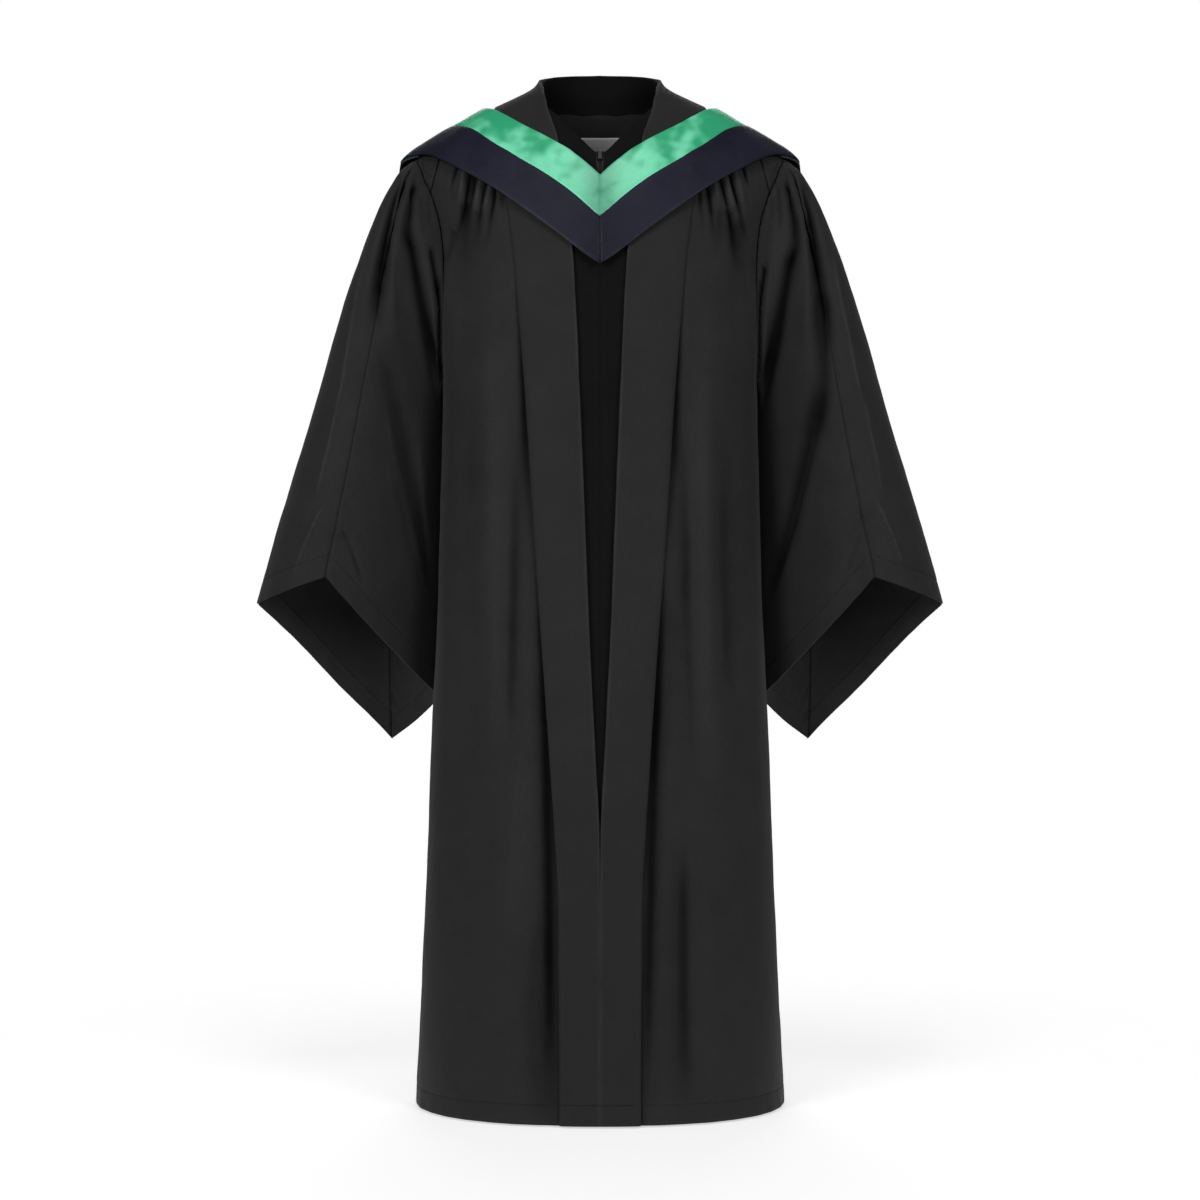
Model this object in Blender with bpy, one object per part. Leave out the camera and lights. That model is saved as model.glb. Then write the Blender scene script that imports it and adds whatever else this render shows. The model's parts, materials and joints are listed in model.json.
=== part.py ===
"""Graduation gown with its academic hood, held in the pose it is worn in, as rigid walls of cloth.

+Z is up, -Y is the front and +X is the wearer's left, in metres. The origin is the middle of
the wearer's shoulder line, where the gown is held up.

Most pieces lie on one smooth body form. A point on it is given by its angle round the body,
from the front centre (0) over the side (90 degrees) to the back centre (180), and its height.
Each piece is a grid of such points, lifted off the form by its folds and by what lies under it.
"""

import bpy
import numpy as np

# Lengths of the whole gown
HEM = -1.124
NECK_TOP = 0.036

# Cloth walls, and how far each layer lies outside the body form
GOWN_WALL = 0.0012
BAND_WALL = 0.0020
HOOD_WALL = 0.0020
LABEL_WALL = 0.0010
BAND_LIFT = 0.0030
TAPE_DROP = 0.0018
LABEL_DROP = 0.0016

# Half the gap between two pieces that meet edge to edge
SEAM = 0.0004

# Gaps where pieces meet, in stations of a strip, shares of its width or radians
STATION_GAP = 0.018
HOOD_MITRE = 0.03
HOOD_SEAM = 0.011
COLLAR_GAP = 0.006
YOKE_TIP_GAP = 0.007
SLEEVE_SEAM_GAPS = (0.0060, 0.0024)

# Angles this near the side of the body count as the ridge of the shoulder
RIDGE_WIDTH = 0.05
# How fast the folds of a panel rise from the sides of the body
SIDE_FADE = 2.2

# How finely the pieces are divided
ROWS_BELOW_ARM = 10
FRONT_COLUMNS = 16
BACK_COLUMNS = 17
FRONT_YOKE_ROWS = 5
BACK_YOKE_ROWS = 9
YOKE_COLUMNS_TO_CORNER = 9
SLEEVE_ROWS = 13
SLEEVE_OUTER_COLUMNS = 6
BAND_COLUMNS_ACROSS = 4
COLLAR_COLUMNS_ROUND = 9
ZIP_PANEL_GRID = (18, 6)
TAPE_GRID = (14, 3)
HOOD_COLUMNS_ACROSS = 4
COWL_COLUMNS_ACROSS = 9

SIDE = np.pi / 2
BACK_CENTRE = np.pi
OUTER_LINE, FRONT_LINE, INNER_LINE, BACK_LINE = range(4)

# Sections of the body form. "over" is the half width over the heads of the sleeves.
BODY_COLUMNS = ("height", "half", "over", "front", "back", "square")
BODY_ROWS = (
    (0.0750, 0.0660, 0.0660, 0.030, 0.060, 2.00),
    (0.0580, 0.0672, 0.0672, 0.032, 0.061, 2.00),
    (0.0486, 0.0722, 0.0722, 0.035, 0.062, 2.00),
    (0.0413, 0.0815, 0.0815, 0.038, 0.064, 2.00),
    (0.0341, 0.0955, 0.0955, 0.042, 0.066, 2.00),
    (0.0237, 0.1178, 0.1178, 0.046, 0.069, 2.00),
    (0.0165, 0.1340, 0.1340, 0.050, 0.073, 2.00),
    (-0.0015, 0.1665, 0.1665, 0.061, 0.083, 2.00),
    (-0.0230, 0.1990, 0.1990, 0.073, 0.094, 2.00),
    (-0.0360, 0.2155, 0.2155, 0.080, 0.100, 2.00),
    (-0.0450, 0.2205, 0.2230, 0.085, 0.103, 2.00),
    (-0.0600, 0.2200, 0.2350, 0.091, 0.108, 2.00),
    (-0.0800, 0.2130, 0.2455, 0.099, 0.113, 2.00),
    (-0.1200, 0.2000, 0.2620, 0.111, 0.119, 2.03),
    (-0.1600, 0.1930, 0.2765, 0.119, 0.122, 2.10),
    (-0.2000, 0.1880, 0.2900, 0.124, 0.124, 2.20),
    (-0.2500, 0.1840, 0.3065, 0.127, 0.125, 2.30),
    (-0.3000, 0.1810, 0.3220, 0.128, 0.126, 2.40),
    (-0.4300, 0.1840, 0.3610, 0.129, 0.127, 2.50),
    (-0.5450, 0.1868, 0.3945, 0.130, 0.129, 2.54),
    (-0.6840, 0.1932, 0.3945, 0.134, 0.133, 2.54),
    (-0.8930, 0.2013, 0.3945, 0.143, 0.144, 2.45),
    (-1.1240, 0.2125, 0.3945, 0.155, 0.155, 2.25),
)

# Where the ridge of the shoulder ends and the sleeve's head begins
RIDGE_LOW = -0.046

# Armhole: an upright oval on the body form, measured by its own angle from the shoulder
# tip (0), over the front or the back, to the armpit (180 degrees)
ARM_HEIGHT = -0.168
ARM_RADIUS = 0.132
ARM_DEPTH = 0.049
ARM_ROUND = 0.55
ARM_STEPS = np.radians((12, 24, 36, 48, 60, 72, 84, 96, 108, 120, 132, 144, 155, 165, 173, 180))
ARM_GAP = 0.0014
ARM_LIFT = 0.0018
FRONT_YOKE_STEP = 3
BACK_YOKE_STEP = 4

# Seam between the front panel and the yoke above it, from the band to the sleeve
YOKE_COLUMNS = ("x", "height")
YOKE_ROWS = (
    (0.090, -0.0930),
    (0.105, -0.0850),
    (0.135, -0.0640),
    (0.165, -0.0470),
    (0.182, -0.0380),
)

YOKE_INNER_X = 0.092
YOKE_SEAM = 0.0013
YOKE_RIDGE_OUTER_X = 0.172
YOKE_RIDGE_X = (0.177, 0.183, 0.190, 0.200)
BACK_NECK_ANGLES = np.radians((180, 164, 146, 128, 109))
BACK_SEAM_X = np.array((0.0, 0.0105, 0.040, 0.064, 0.086, 0.106, 0.126, 0.144, 0.160))
BACK_RIDGE_X = (0.107, 0.128, 0.148, 0.160, 0.172, 0.184, 0.198)
TOP_SPREAD_LOW = -0.20

# Band that runs from the hem up each front edge and round the neck
BAND_COLUMNS = ("inner_x", "inner_height", "outer_x", "outer_height")
BAND_ROWS = (
    (0.0006, -1.1240, 0.0445, -1.1240),
    (0.0006, -1.0050, 0.0450, -1.0050),
    (0.0006, -0.8850, 0.0460, -0.8850),
    (0.0010, -0.8050, 0.0500, -0.8050),
    (0.0060, -0.7050, 0.0568, -0.7050),
    (0.0119, -0.5860, 0.0652, -0.5860),
    (0.0167, -0.4650, 0.0732, -0.4650),
    (0.0226, -0.3180, 0.0833, -0.3150),
    (0.0279, -0.2000, 0.0920, -0.2030),
    (0.0316, -0.1457, 0.0970, -0.1500),
    (0.0345, -0.1150, 0.1010, -0.1220),
    (0.0400, -0.0700, 0.1070, -0.0800),
    (0.0477, -0.0260, 0.1145, -0.0420),
    (0.0548, -0.0009, 0.1200, -0.0180),
    (0.0612, 0.0237, 0.1235, 0.0050),
    (0.0645, 0.0420, 0.1220, 0.0180),
)
COLLAR_COLUMNS = ("angle", "inner_height", "outer_height")
COLLAR_ROWS = (
    (90, 0.0580, 0.0237),
    (112, 0.0640, 0.0265),
    (135, 0.0700, 0.0285),
    (157, 0.0735, 0.0290),
    (180, 0.0750, 0.0290),
)
BAND_OVERLAP = 0.0150

# Zipped inner front: its top edge from the zip to the band, and how deep it sinks at the zip
ZIP_TOP_COLUMNS = ("across", "height")
ZIP_TOP_ROWS = (
    (0.0, -0.0352),
    (0.19, -0.0229),
    (0.27, -0.0178),
    (0.46, -0.0062),
    (0.69, 0.0061),
    (0.89, 0.0144),
    (1.0, 0.0220),
)
ZIP_PANEL_COLUMNS = ("height", "gap", "outer_x", "sink")
ZIP_PANEL_ROWS = (
    (0.022, 0.0060, 0.0605, 0.0000),
    (-0.030, 0.0055, 0.0780, 0.0060),
    (-0.043, 0.0050, 0.0810, 0.0075),
    (-0.062, 0.0030, 0.0860, 0.0075),
    (-0.085, 0.0004, 0.0895, 0.0075),
    (-0.200, 0.0004, 0.0763, 0.0070),
    (-0.465, 0.0004, 0.0572, 0.0060),
    (-0.705, 0.0004, 0.0408, 0.0035),
    (-0.885, 0.0004, 0.0300, 0.0015),
    (-1.124, 0.0004, 0.0285, 0.0010),
)
ZIP_SINK_WIDTH = 0.030
ZIP_ROWS_CROWD_UP = 1.6
TAPE_TOP = -0.0335
TAPE_LOW = -0.8200
TAPE_HALF = 0.0120
SLIDER_SIZE = (0.0056, 0.0036, 0.0110)
SLIDER_HEIGHT = -0.0400
SLIDER_GAP = 0.0005

# Edges and inner lines of the label, counted in rows and columns of the back yoke
LABEL_YOKE_ROWS = (1.78, 2.0, 3.0, 4.0, 4.20)
LABEL_YOKE_COLUMNS = (0.0, 1.0)

# Guide lines of a sleeve, each from the armhole down past the cuff
SLEEVE_COLUMNS = ("height", "x", "y")
OUTER_ROWS = (
    (-0.0360, 0.2155, 0.000),
    (-0.0500, 0.2245, 0.000),
    (-0.0580, 0.2300, 0.001),
    (-0.0810, 0.2418, 0.002),
    (-0.1510, 0.2706, 0.004),
    (-0.2430, 0.3036, 0.005),
    (-0.3360, 0.3318, 0.004),
    (-0.4290, 0.3612, 0.002),
    (-0.5220, 0.3888, 0.000),
    (-0.5496, 0.3962, 0.000),
    (-0.6200, 0.4180, 0.000),
)
FRONT_ROWS = (
    (-0.0389, 0.2118, -0.021),
    (-0.0675, 0.2217, -0.050),
    (-0.1150, 0.2320, -0.064),
    (-0.1720, 0.2432, -0.072),
    (-0.2190, 0.2511, -0.078),
    (-0.3000, 0.2660, -0.084),
    (-0.4000, 0.2840, -0.091),
    (-0.5192, 0.3078, -0.100),
    (-0.6700, 0.3300, -0.110),
)
INNER_ROWS = (
    (-0.3000, 0.1830, 0.000),
    (-0.3400, 0.1855, 0.004),
    (-0.4000, 0.1870, 0.012),
    (-0.5200, 0.1895, 0.028),
    (-0.6600, 0.1915, 0.045),
    (-0.7460, 0.1930, 0.055),
)
BACK_ROWS = (
    (-0.0389, 0.2118, 0.021),
    (-0.0750, 0.2235, 0.047),
    (-0.1150, 0.2350, 0.066),
    (-0.1900, 0.2430, 0.085),
    (-0.3000, 0.2500, 0.105),
    (-0.4500, 0.2530, 0.115),
    (-0.6000, 0.2530, 0.120),
    (-0.7130, 0.2510, 0.120),
    (-0.7500, 0.2500, 0.120),
)
# Corners of the open cuff, as x and height
CUFF_OUTER = (0.3973, -0.5496)
CUFF_FRONT = (0.3078, -0.5192)
CUFF_INNER = (0.1915, -0.6600)
CUFF_BACK = (0.2510, -0.7130)
CUFF_SEARCH_FROM = 0.3
CUFF_SEARCH_STEPS = 30
# Where the seams lie between the outer (0) and the inner (1) fold of a sleeve, and how
# round the cloth is from each fold to the seam
FRONT_SEAM = 0.42
FRONT_ROUND = 0.69
BACK_SEAM = 0.55
BACK_ROUND = 0.80
ARM_BLEND = 0.45
ARM_CLEAR = 0.0060
ARM_CLEAR_BY = 0.04

# Edges of the hood on the body form, from the front centre to the ridge of the shoulder
HOOD_COLUMNS = ("inner_x", "inner_height", "join_x", "join_height", "outer_x", "outer_height", "lift")
HOOD_FRONT_ROWS = (
    (0.0000, -0.0715, 0.0000, -0.1189, 0.0000, -0.1722, 0.0075),
    (0.0183, -0.0538, 0.0332, -0.0893, 0.0495, -0.1355, 0.0075),
    (0.0466, -0.0329, 0.0666, -0.0649, 0.0884, -0.1060, 0.0075),
    (0.0734, -0.0169, 0.0946, -0.0469, 0.1186, -0.0840, 0.0078),
    (0.1050, 0.0028, 0.1252, -0.0260, 0.1492, -0.0647, 0.0080),
    (0.1206, 0.0120, 0.1422, -0.0129, 0.1753, -0.0496, 0.0080),
    (0.1322, 0.0163, 0.1592, -0.0047, 0.2014, -0.0377, 0.0064),
)
# Height and lift of each edge on the ridge
HOOD_RIDGE = {"inner": (0.0165, 0.0027), "join": (-0.0015, 0.0062), "outer": (-0.0446, 0.0112)}
HOOD_BACK_ROWS = (
    (0.1250, -0.0200, 0.1650, -0.0500, 0.2150, -0.0900, 0.0090),
    (0.1000, -0.0800, 0.1350, -0.1300, 0.2050, -0.1700, 0.0110),
    (0.0600, -0.1300, 0.0850, -0.1900, 0.1550, -0.2700, 0.0130),
    (0.0250, -0.1500, 0.0350, -0.2110, 0.0700, -0.3400, 0.0140),
    (0.0000, -0.1550, 0.0000, -0.2150, 0.0000, -0.3600, 0.0140),
)

HOOD_AT_RIDGE = len(HOOD_FRONT_ROWS)
COWL_FOLDS = 2.5
COWL_RISE = 0.006
COWL_GROWTH = 3

# Folds of the cloth, seen from the front or the back. Each runs from its top to its low end,
# "bow" to the outside at its middle, and stands "rise" out of the cloth, or sinks into it.
FOLD_COLUMNS = ("top_x", "top", "low_x", "low", "bow", "top_width", "low_width", "rise")
FRONT_FOLDS = {
    -1: (
        (0.162, -0.050, 0.178, -0.110, -0.002, 0.004, 0.004, -0.0030),
        (0.149, -0.055, 0.172, -0.150, -0.006, 0.006, 0.008, -0.0060),
        (0.155, -0.060, 0.169, -0.160, -0.004, 0.006, 0.008, 0.0030),
        (0.134, -0.070, 0.149, -0.115, 0.000, 0.005, 0.005, -0.0030),
        (0.124, -0.075, 0.133, -0.140, 0.006, 0.006, 0.007, -0.0050),
        (0.116, -0.085, 0.134, -0.160, 0.002, 0.006, 0.008, -0.0040),
        (0.146, -0.125, 0.140, -0.175, 0.000, 0.009, 0.012, -0.0030),
        (0.166, -0.140, 0.171, -0.360, 0.000, 0.012, 0.016, 0.0030),
        (0.086, -0.700, 0.108, -0.990, 0.000, 0.022, 0.026, 0.0050),
        (0.065, -0.860, 0.064, -1.160, 0.000, 0.018, 0.020, -0.0060),
    ),
    1: (
        (0.119, -0.080, 0.125, -0.135, 0.000, 0.005, 0.005, -0.0030),
        (0.134, -0.070, 0.149, -0.150, 0.000, 0.006, 0.007, -0.0050),
        (0.149, -0.060, 0.173, -0.150, -0.003, 0.005, 0.006, -0.0060),
        (0.157, -0.070, 0.172, -0.170, -0.002, 0.006, 0.008, 0.0030),
        (0.170, -0.050, 0.176, -0.100, 0.000, 0.004, 0.004, -0.0030),
        (0.166, -0.140, 0.171, -0.360, 0.000, 0.012, 0.016, 0.0030),
        (0.080, -0.520, 0.063, -0.760, 0.000, 0.014, 0.018, -0.0045),
        (0.097, -0.780, 0.097, -1.160, 0.000, 0.018, 0.020, -0.0060),
        (0.114, -0.780, 0.116, -1.160, 0.000, 0.018, 0.020, 0.0040),
    ),
}
FLUTES_PER_SIDE = 3.5
FLUTE_RISE = 0.0065
FLUTE_LOW = -0.750
FLUTE_AT_SEAM = 0.35
FLUTE_GROWTH = 0.06
BACK_FOLDS = (
    (0.120, -0.300, 0.150, -1.160, 0.010, 0.024, 0.030, 0.0070),
    (0.060, -0.450, 0.090, -1.160, 0.000, 0.024, 0.030, -0.0070),
    (-0.020, -0.500, -0.010, -1.160, 0.000, 0.024, 0.030, 0.0060),
    (-0.075, -0.400, -0.100, -1.160, 0.000, 0.024, 0.030, -0.0070),
    (-0.130, -0.350, -0.150, -1.160, -0.008, 0.024, 0.030, 0.0060),
)
SLEEVE_FRONT_FOLDS = {
    -1: (
        (0.2270, -0.070, 0.2320, -0.330, 0.018, 0.010, 0.014, -0.0140),
        (0.2320, -0.330, 0.1900, -0.620, 0.004, 0.014, 0.012, -0.0140),
        (0.2140, -0.060, 0.2290, -0.280, 0.010, 0.008, 0.010, 0.0060),
        (0.2250, -0.280, 0.1920, -0.500, -0.002, 0.010, 0.010, 0.0050),
        (0.2080, -0.060, 0.1860, -0.360, 0.020, 0.008, 0.010, -0.0110),
        (0.2430, -0.320, 0.2080, -0.600, 0.004, 0.009, 0.009, 0.0060),
        (0.2950, -0.440, 0.2740, -0.560, 0.000, 0.014, 0.018, -0.0040),
        (0.2624, -0.110, 0.3440, -0.600, -0.006, 0.018, 0.020, 0.0040),
    ),
    1: (
        (0.2260, -0.070, 0.2300, -0.340, 0.016, 0.010, 0.014, -0.0130),
        (0.2300, -0.340, 0.1910, -0.620, 0.004, 0.014, 0.012, -0.0130),
        (0.2140, -0.060, 0.2270, -0.290, 0.010, 0.008, 0.010, 0.0060),
        (0.2070, -0.060, 0.1860, -0.350, 0.018, 0.008, 0.010, -0.0110),
        (0.2400, -0.330, 0.2080, -0.600, 0.004, 0.009, 0.009, 0.0060),
        (0.3000, -0.420, 0.2780, -0.560, 0.000, 0.014, 0.018, -0.0040),
        (0.2650, -0.110, 0.3460, -0.600, -0.006, 0.018, 0.020, 0.0040),
    ),
}
SLEEVE_BACK_FOLDS = (
    (0.2200, -0.080, 0.2200, -0.650, 0.014, 0.012, 0.016, -0.0120),
    (0.2080, -0.080, 0.2000, -0.600, 0.006, 0.010, 0.012, 0.0060),
    (0.2600, -0.100, 0.3100, -0.620, 0.010, 0.020, 0.026, -0.0080),
    (0.2400, -0.100, 0.2700, -0.650, 0.014, 0.016, 0.020, 0.0060),
)
FOLD_END = 0.030
# Shares of a sleeve over which its folds rise from its edges and from the armhole
SLEEVE_FOLD_FADE = 0.15
ARM_FOLD_FADE = 0.05
FRONT_OUTWARD = np.array((0.2425, -0.9701, 0.0))
BACK_OUTWARD = np.array((0.2425, 0.9701, 0.0))
SLEEVE_ROWS_CROWD_UP = 1.1

BLACK_CLOTH = (0.020, 0.020, 0.022, 1.0)
INNER_BLACK = (0.012, 0.012, 0.013, 1.0)
NAVY_SATIN = (0.018, 0.020, 0.040, 1.0)
GREEN_SATIN = (0.030, 0.420, 0.190, 1.0)
ZIP_BLACK = (0.015, 0.015, 0.016, 1.0)
LABEL_GREY = (0.400, 0.400, 0.410, 1.0)


def monotone_curve(keys, values):
    """A smooth curve through the points that never overshoots them, as a function of the key."""
    order = np.argsort(keys)
    keys = np.asarray(keys, float)[order]
    values = np.asarray(values, float)[order]
    step = np.diff(keys)
    rise = np.diff(values) / step
    slope = np.concatenate(([rise[0]], np.zeros(len(rise) - 1), [rise[-1]]))
    same_way = rise[1:] * rise[:-1] > 0
    before, after = rise[:-1][same_way], rise[1:][same_way]
    weight_a = (2 * step[1:] + step[:-1])[same_way]
    weight_b = (step[1:] + 2 * step[:-1])[same_way]
    slope[1:-1][same_way] = (weight_a + weight_b) / (weight_a / before + weight_b / after)

    def at(key):
        key = np.clip(key, keys[0], keys[-1])
        k = np.clip(np.searchsorted(keys, key, side="right") - 1, 0, len(step) - 1)
        t = (key - keys[k]) / step[k]
        start = (1 + 2 * t) * (1 - t) ** 2 * values[k] + t * (1 - t) ** 2 * step[k] * slope[k]
        end = t**2 * (3 - 2 * t) * values[k + 1] - t**2 * (1 - t) * step[k] * slope[k + 1]
        return start + end

    return at


def columns_of(names, rows):
    """The columns of a table, by name."""
    return dict(zip(names, np.array(rows).T, strict=True))


def curves(names, rows):
    """One smooth curve for each further column of a table, as a function of the first."""
    table = columns_of(names, rows)
    return {name: monotone_curve(table[names[0]], table[name]) for name in names[1:]}


def blend(start, end, share):
    return start + (end - start) * share


def smooth_step(value):
    value = np.clip(value, 0, 1)
    return value * value * (3 - 2 * value)


BODY = curves(BODY_COLUMNS, BODY_ROWS)
YOKE = curves(YOKE_COLUMNS, YOKE_ROWS)
ZIP_TOP = curves(ZIP_TOP_COLUMNS, ZIP_TOP_ROWS)
ZIP_PANEL = curves(ZIP_PANEL_COLUMNS, ZIP_PANEL_ROWS)
COLLAR = curves(COLLAR_COLUMNS, COLLAR_ROWS)
BAND = columns_of(BAND_COLUMNS, BAND_ROWS)
BAND_OUTER_X = monotone_curve(BAND["outer_height"], BAND["outer_x"])
RIDGE = columns_of(BODY_COLUMNS, [row for row in BODY_ROWS if row[0] > RIDGE_LOW])
RIDGE_HEIGHT = monotone_curve(RIDGE["half"], RIDGE["height"])
SLEEVE_TABLES = (OUTER_ROWS, FRONT_ROWS, INNER_ROWS, BACK_ROWS)
GUIDES = [curves(SLEEVE_COLUMNS, rows) for rows in SLEEVE_TABLES]
GUIDE_ENDS = [(rows[0][0], rows[-1][0]) for rows in SLEEVE_TABLES]


def depth_at(angle, height):
    return np.where(angle < SIDE, BODY["front"](height), BODY["back"](height))


def on_form(angle, height, lift=0.0, width="half"):
    """Points of the body form at these angles and heights, moved out along its surface normal."""
    angle, height, lift = np.broadcast_arrays(angle, height, lift)
    half = BODY[width](height)
    depth = depth_at(angle, height)
    square = BODY["square"](height)
    across = np.sin(angle) ** (2 / square)
    inward = np.abs(np.cos(angle)) ** (2 / square)
    facing = -np.sign(np.cos(angle))
    small = 0.0005
    half_slope = (BODY[width](height + small) - BODY[width](height - small)) / (2 * small)
    depth_slope = (depth_at(angle, height + small) - depth_at(angle, height - small)) / (2 * small)
    normal = np.stack(
        [
            across ** (square - 1) / half,
            facing * inward ** (square - 1) / depth,
            -(across**square) * half_slope / half - inward**square * depth_slope / depth,
        ],
        axis=-1,
    )
    normal /= np.linalg.norm(normal, axis=-1, keepdims=True)
    base = np.stack([half * across, facing * depth * inward, height], axis=-1)
    return base + normal * lift[..., None]


def front_angle(x, height, width="half"):
    """The angle of the front point of the form at this x."""
    return np.arcsin(np.clip(x / BODY[width](height), 0, 1) ** (BODY["square"](height) / 2))


def angle_at_depth(y, height):
    """The angle of the front point of the form at this distance in front of the ridge."""
    share = np.clip(y / BODY["front"](height), 0, 1)
    return np.arccos(share ** (BODY["square"](height) / 2))


def back_angle_at_depth(y, height):
    share = np.clip(y / BODY["back"](height), 0, 1)
    return np.pi - np.arccos(share ** (BODY["square"](height) / 2))


def arm_height(step, shrink=0.0):
    return ARM_HEIGHT + (ARM_RADIUS - shrink) * np.cos(step)


def arm_depth(step, shrink=0.0):
    return (ARM_DEPTH - shrink) * np.abs(np.sin(step)) ** ARM_ROUND


def folds(table, x, height):
    """How far the folds of a table lift the cloth at each point."""
    total = np.zeros(np.broadcast(x, height).shape)
    for row in table:
        fold = dict(zip(FOLD_COLUMNS, row, strict=True))
        top, low = fold["top"], fold["low"]
        along = np.clip((top - height) / (top - low), 0, 1)
        centre = blend(fold["top_x"], fold["low_x"], along) + 4 * fold["bow"] * along * (1 - along)
        width = blend(fold["top_width"], fold["low_width"], along)
        ends = smooth_step((top - height) / FOLD_END) * smooth_step((height - low) / FOLD_END)
        total += fold["rise"] * ends * np.exp(-(((x - centre) / width) ** 2))
    return total


def away_from_sides(angle):
    """1 over the front and the back of the body, falling to 0 at its sides."""
    return smooth_step(SIDE_FADE * np.abs(np.cos(angle)))


def front_lift(side, angle, height):
    x = BODY["half"](height) * np.sin(angle) ** (2 / BODY["square"](height))
    return folds(FRONT_FOLDS[side], x, height) * away_from_sides(angle)


def mirrored(points, side):
    return points * np.array([side, 1.0, 1.0])


def add_sheet(name, points, wall, colour, roughness):
    """A closed wall of cloth on a grid of points, each cell split along its shorter diagonal."""
    rows, columns = points.shape[:2]
    faces = []
    for i in range(rows - 1):
        for j in range(columns - 1):
            corner = i * columns + j
            a, b, c, d = corner, corner + 1, corner + columns + 1, corner + columns
            rising = np.linalg.norm(points[i, j] - points[i + 1, j + 1])
            falling = np.linalg.norm(points[i, j + 1] - points[i + 1, j])
            if rising < falling:
                faces += [(a, b, c), (a, c, d)]
            else:
                faces += [(a, b, d), (b, c, d)]
    mesh = bpy.data.meshes.new(name)
    mesh.from_pydata([tuple(point) for point in points.reshape(-1, 3)], [], faces)
    mesh.shade_smooth()
    obj = bpy.data.objects.new(name, mesh)
    bpy.context.scene.collection.objects.link(obj)
    solid = obj.modifiers.new("wall", "SOLIDIFY")
    solid.thickness = wall
    solid.offset = 0
    add_material(obj, colour, roughness)
    return obj


def add_material(obj, colour, roughness, metallic=0.0):
    material = bpy.data.materials.new(obj.name)
    material.use_nodes = True
    shader = material.node_tree.nodes["Principled BSDF"]
    shader.inputs["Base Color"].default_value = colour
    shader.inputs["Roughness"].default_value = roughness
    shader.inputs["Metallic"].default_value = metallic
    obj.data.materials.append(material)


def side_name(side):
    return "left" if side > 0 else "right"


def hem_to_arm(arm_steps):
    """Heights of a panel's rows along its outer edge, up to the last of the armhole's steps."""
    below_arm = np.linspace(HEM, ARM_HEIGHT - ARM_RADIUS, ROWS_BELOW_ARM)
    return np.concatenate([below_arm, arm_height(arm_steps)])


def front_edge_x(height):
    """Where the front panel meets the zipped panel, under the band."""
    return np.minimum(BAND_OUTER_X(height) - BAND_OVERLAP, YOKE_ROWS[0][0])


def front_panel(side):
    steps = ARM_STEPS[FRONT_YOKE_STEP:-1][::-1]
    corner_x, corner = YOKE_ROWS[-1]
    tip = arm_height(steps[-1])
    tip_angle = angle_at_depth(arm_depth(steps[-1]), tip)
    tip_x = on_form(tip_angle, tip)[0]
    edge_x = np.array([blend(tip_x, corner_x, 0.5), corner_x])
    edge_height = np.array([blend(tip, corner, 0.5), corner])
    level = np.concatenate([hem_to_arm(steps), edge_height])[:, None]
    outer = np.concatenate(
        [
            angle_at_depth(SEAM, level[:ROWS_BELOW_ARM, 0]),
            angle_at_depth(arm_depth(steps), arm_height(steps)),
            front_angle(edge_x, edge_height),
        ]
    )[:, None]

    across = np.linspace(0, 1, FRONT_COLUMNS)[None, :]
    top_x = blend(YOKE_ROWS[0][0] + SEAM, corner_x, across)
    top = YOKE["height"](top_x)
    top_angle = front_angle(top_x, top)
    top_share = (top_angle - top_angle[:, :1]) / (top_angle[:, -1:] - top_angle[:, :1])
    near_top = smooth_step((level - TOP_SPREAD_LOW) / (corner - TOP_SPREAD_LOW))
    height = HEM + (level - HEM) * (top - HEM) / (corner - HEM)
    inner = front_angle(front_edge_x(height) + SEAM, height)
    angle = blend(inner, outer, blend(across, top_share, near_top))
    angle[-1] = top_angle[0]
    points = on_form(angle, height, front_lift(side, angle, height))
    name = "front_panel_" + side_name(side)
    return add_sheet(name, mirrored(points, side), GOWN_WALL, BLACK_CLOTH, 0.85)


def hanging_columns(top_angle, top, low_angle, low, rows):
    """Columns that run down from a top edge. From the ridge they first follow its round top."""
    down = np.linspace(0, 1, rows)[:, None]
    on_ridge = np.abs(top_angle - SIDE) < RIDGE_WIDTH
    angle = blend(top_angle, low_angle, np.where(on_ridge, 1 - (1 - down) ** 2, down))
    height = blend(top, low, np.where(on_ridge, down**2, down))
    return angle, height


def front_yoke(side):
    corner_x, corner = YOKE_ROWS[-1]
    steps = ARM_STEPS[: FRONT_YOKE_STEP + 1][::-1].copy()
    steps[0] -= YOKE_TIP_GAP
    tip = arm_height(steps[0])
    tip_x = on_form(angle_at_depth(arm_depth(steps[0]), tip), tip)[0]
    seam_x = np.linspace(YOKE_INNER_X, corner_x + YOKE_SEAM, YOKE_COLUMNS_TO_CORNER)
    edge_x = np.append(seam_x, blend(tip_x, corner_x, 0.5) + YOKE_SEAM)
    edge = np.append(YOKE["height"](seam_x) + YOKE_SEAM, blend(tip, corner, 0.5))
    low_angle = np.append(front_angle(edge_x, edge), angle_at_depth(arm_depth(steps), arm_height(steps)))
    low = np.append(edge, arm_height(steps))
    inner_x = np.linspace(YOKE_INNER_X, YOKE_RIDGE_OUTER_X, YOKE_COLUMNS_TO_CORNER)
    ridge_x = np.append(inner_x, YOKE_RIDGE_X)
    top = np.append(RIDGE_HEIGHT(ridge_x), arm_height(0))
    top_angle = angle_at_depth(SEAM, top)
    angle, height = hanging_columns(top_angle, top, low_angle, low, FRONT_YOKE_ROWS)
    last_steps = np.linspace(0, steps[-1], FRONT_YOKE_ROWS)
    height[:, -1] = arm_height(last_steps)
    angle[:, -1] = angle_at_depth(np.maximum(arm_depth(last_steps), SEAM), height[:, -1])
    name = "front_yoke_" + side_name(side)
    return add_sheet(name, mirrored(on_form(angle, height), side), GOWN_WALL, BLACK_CLOTH, 0.85)


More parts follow.
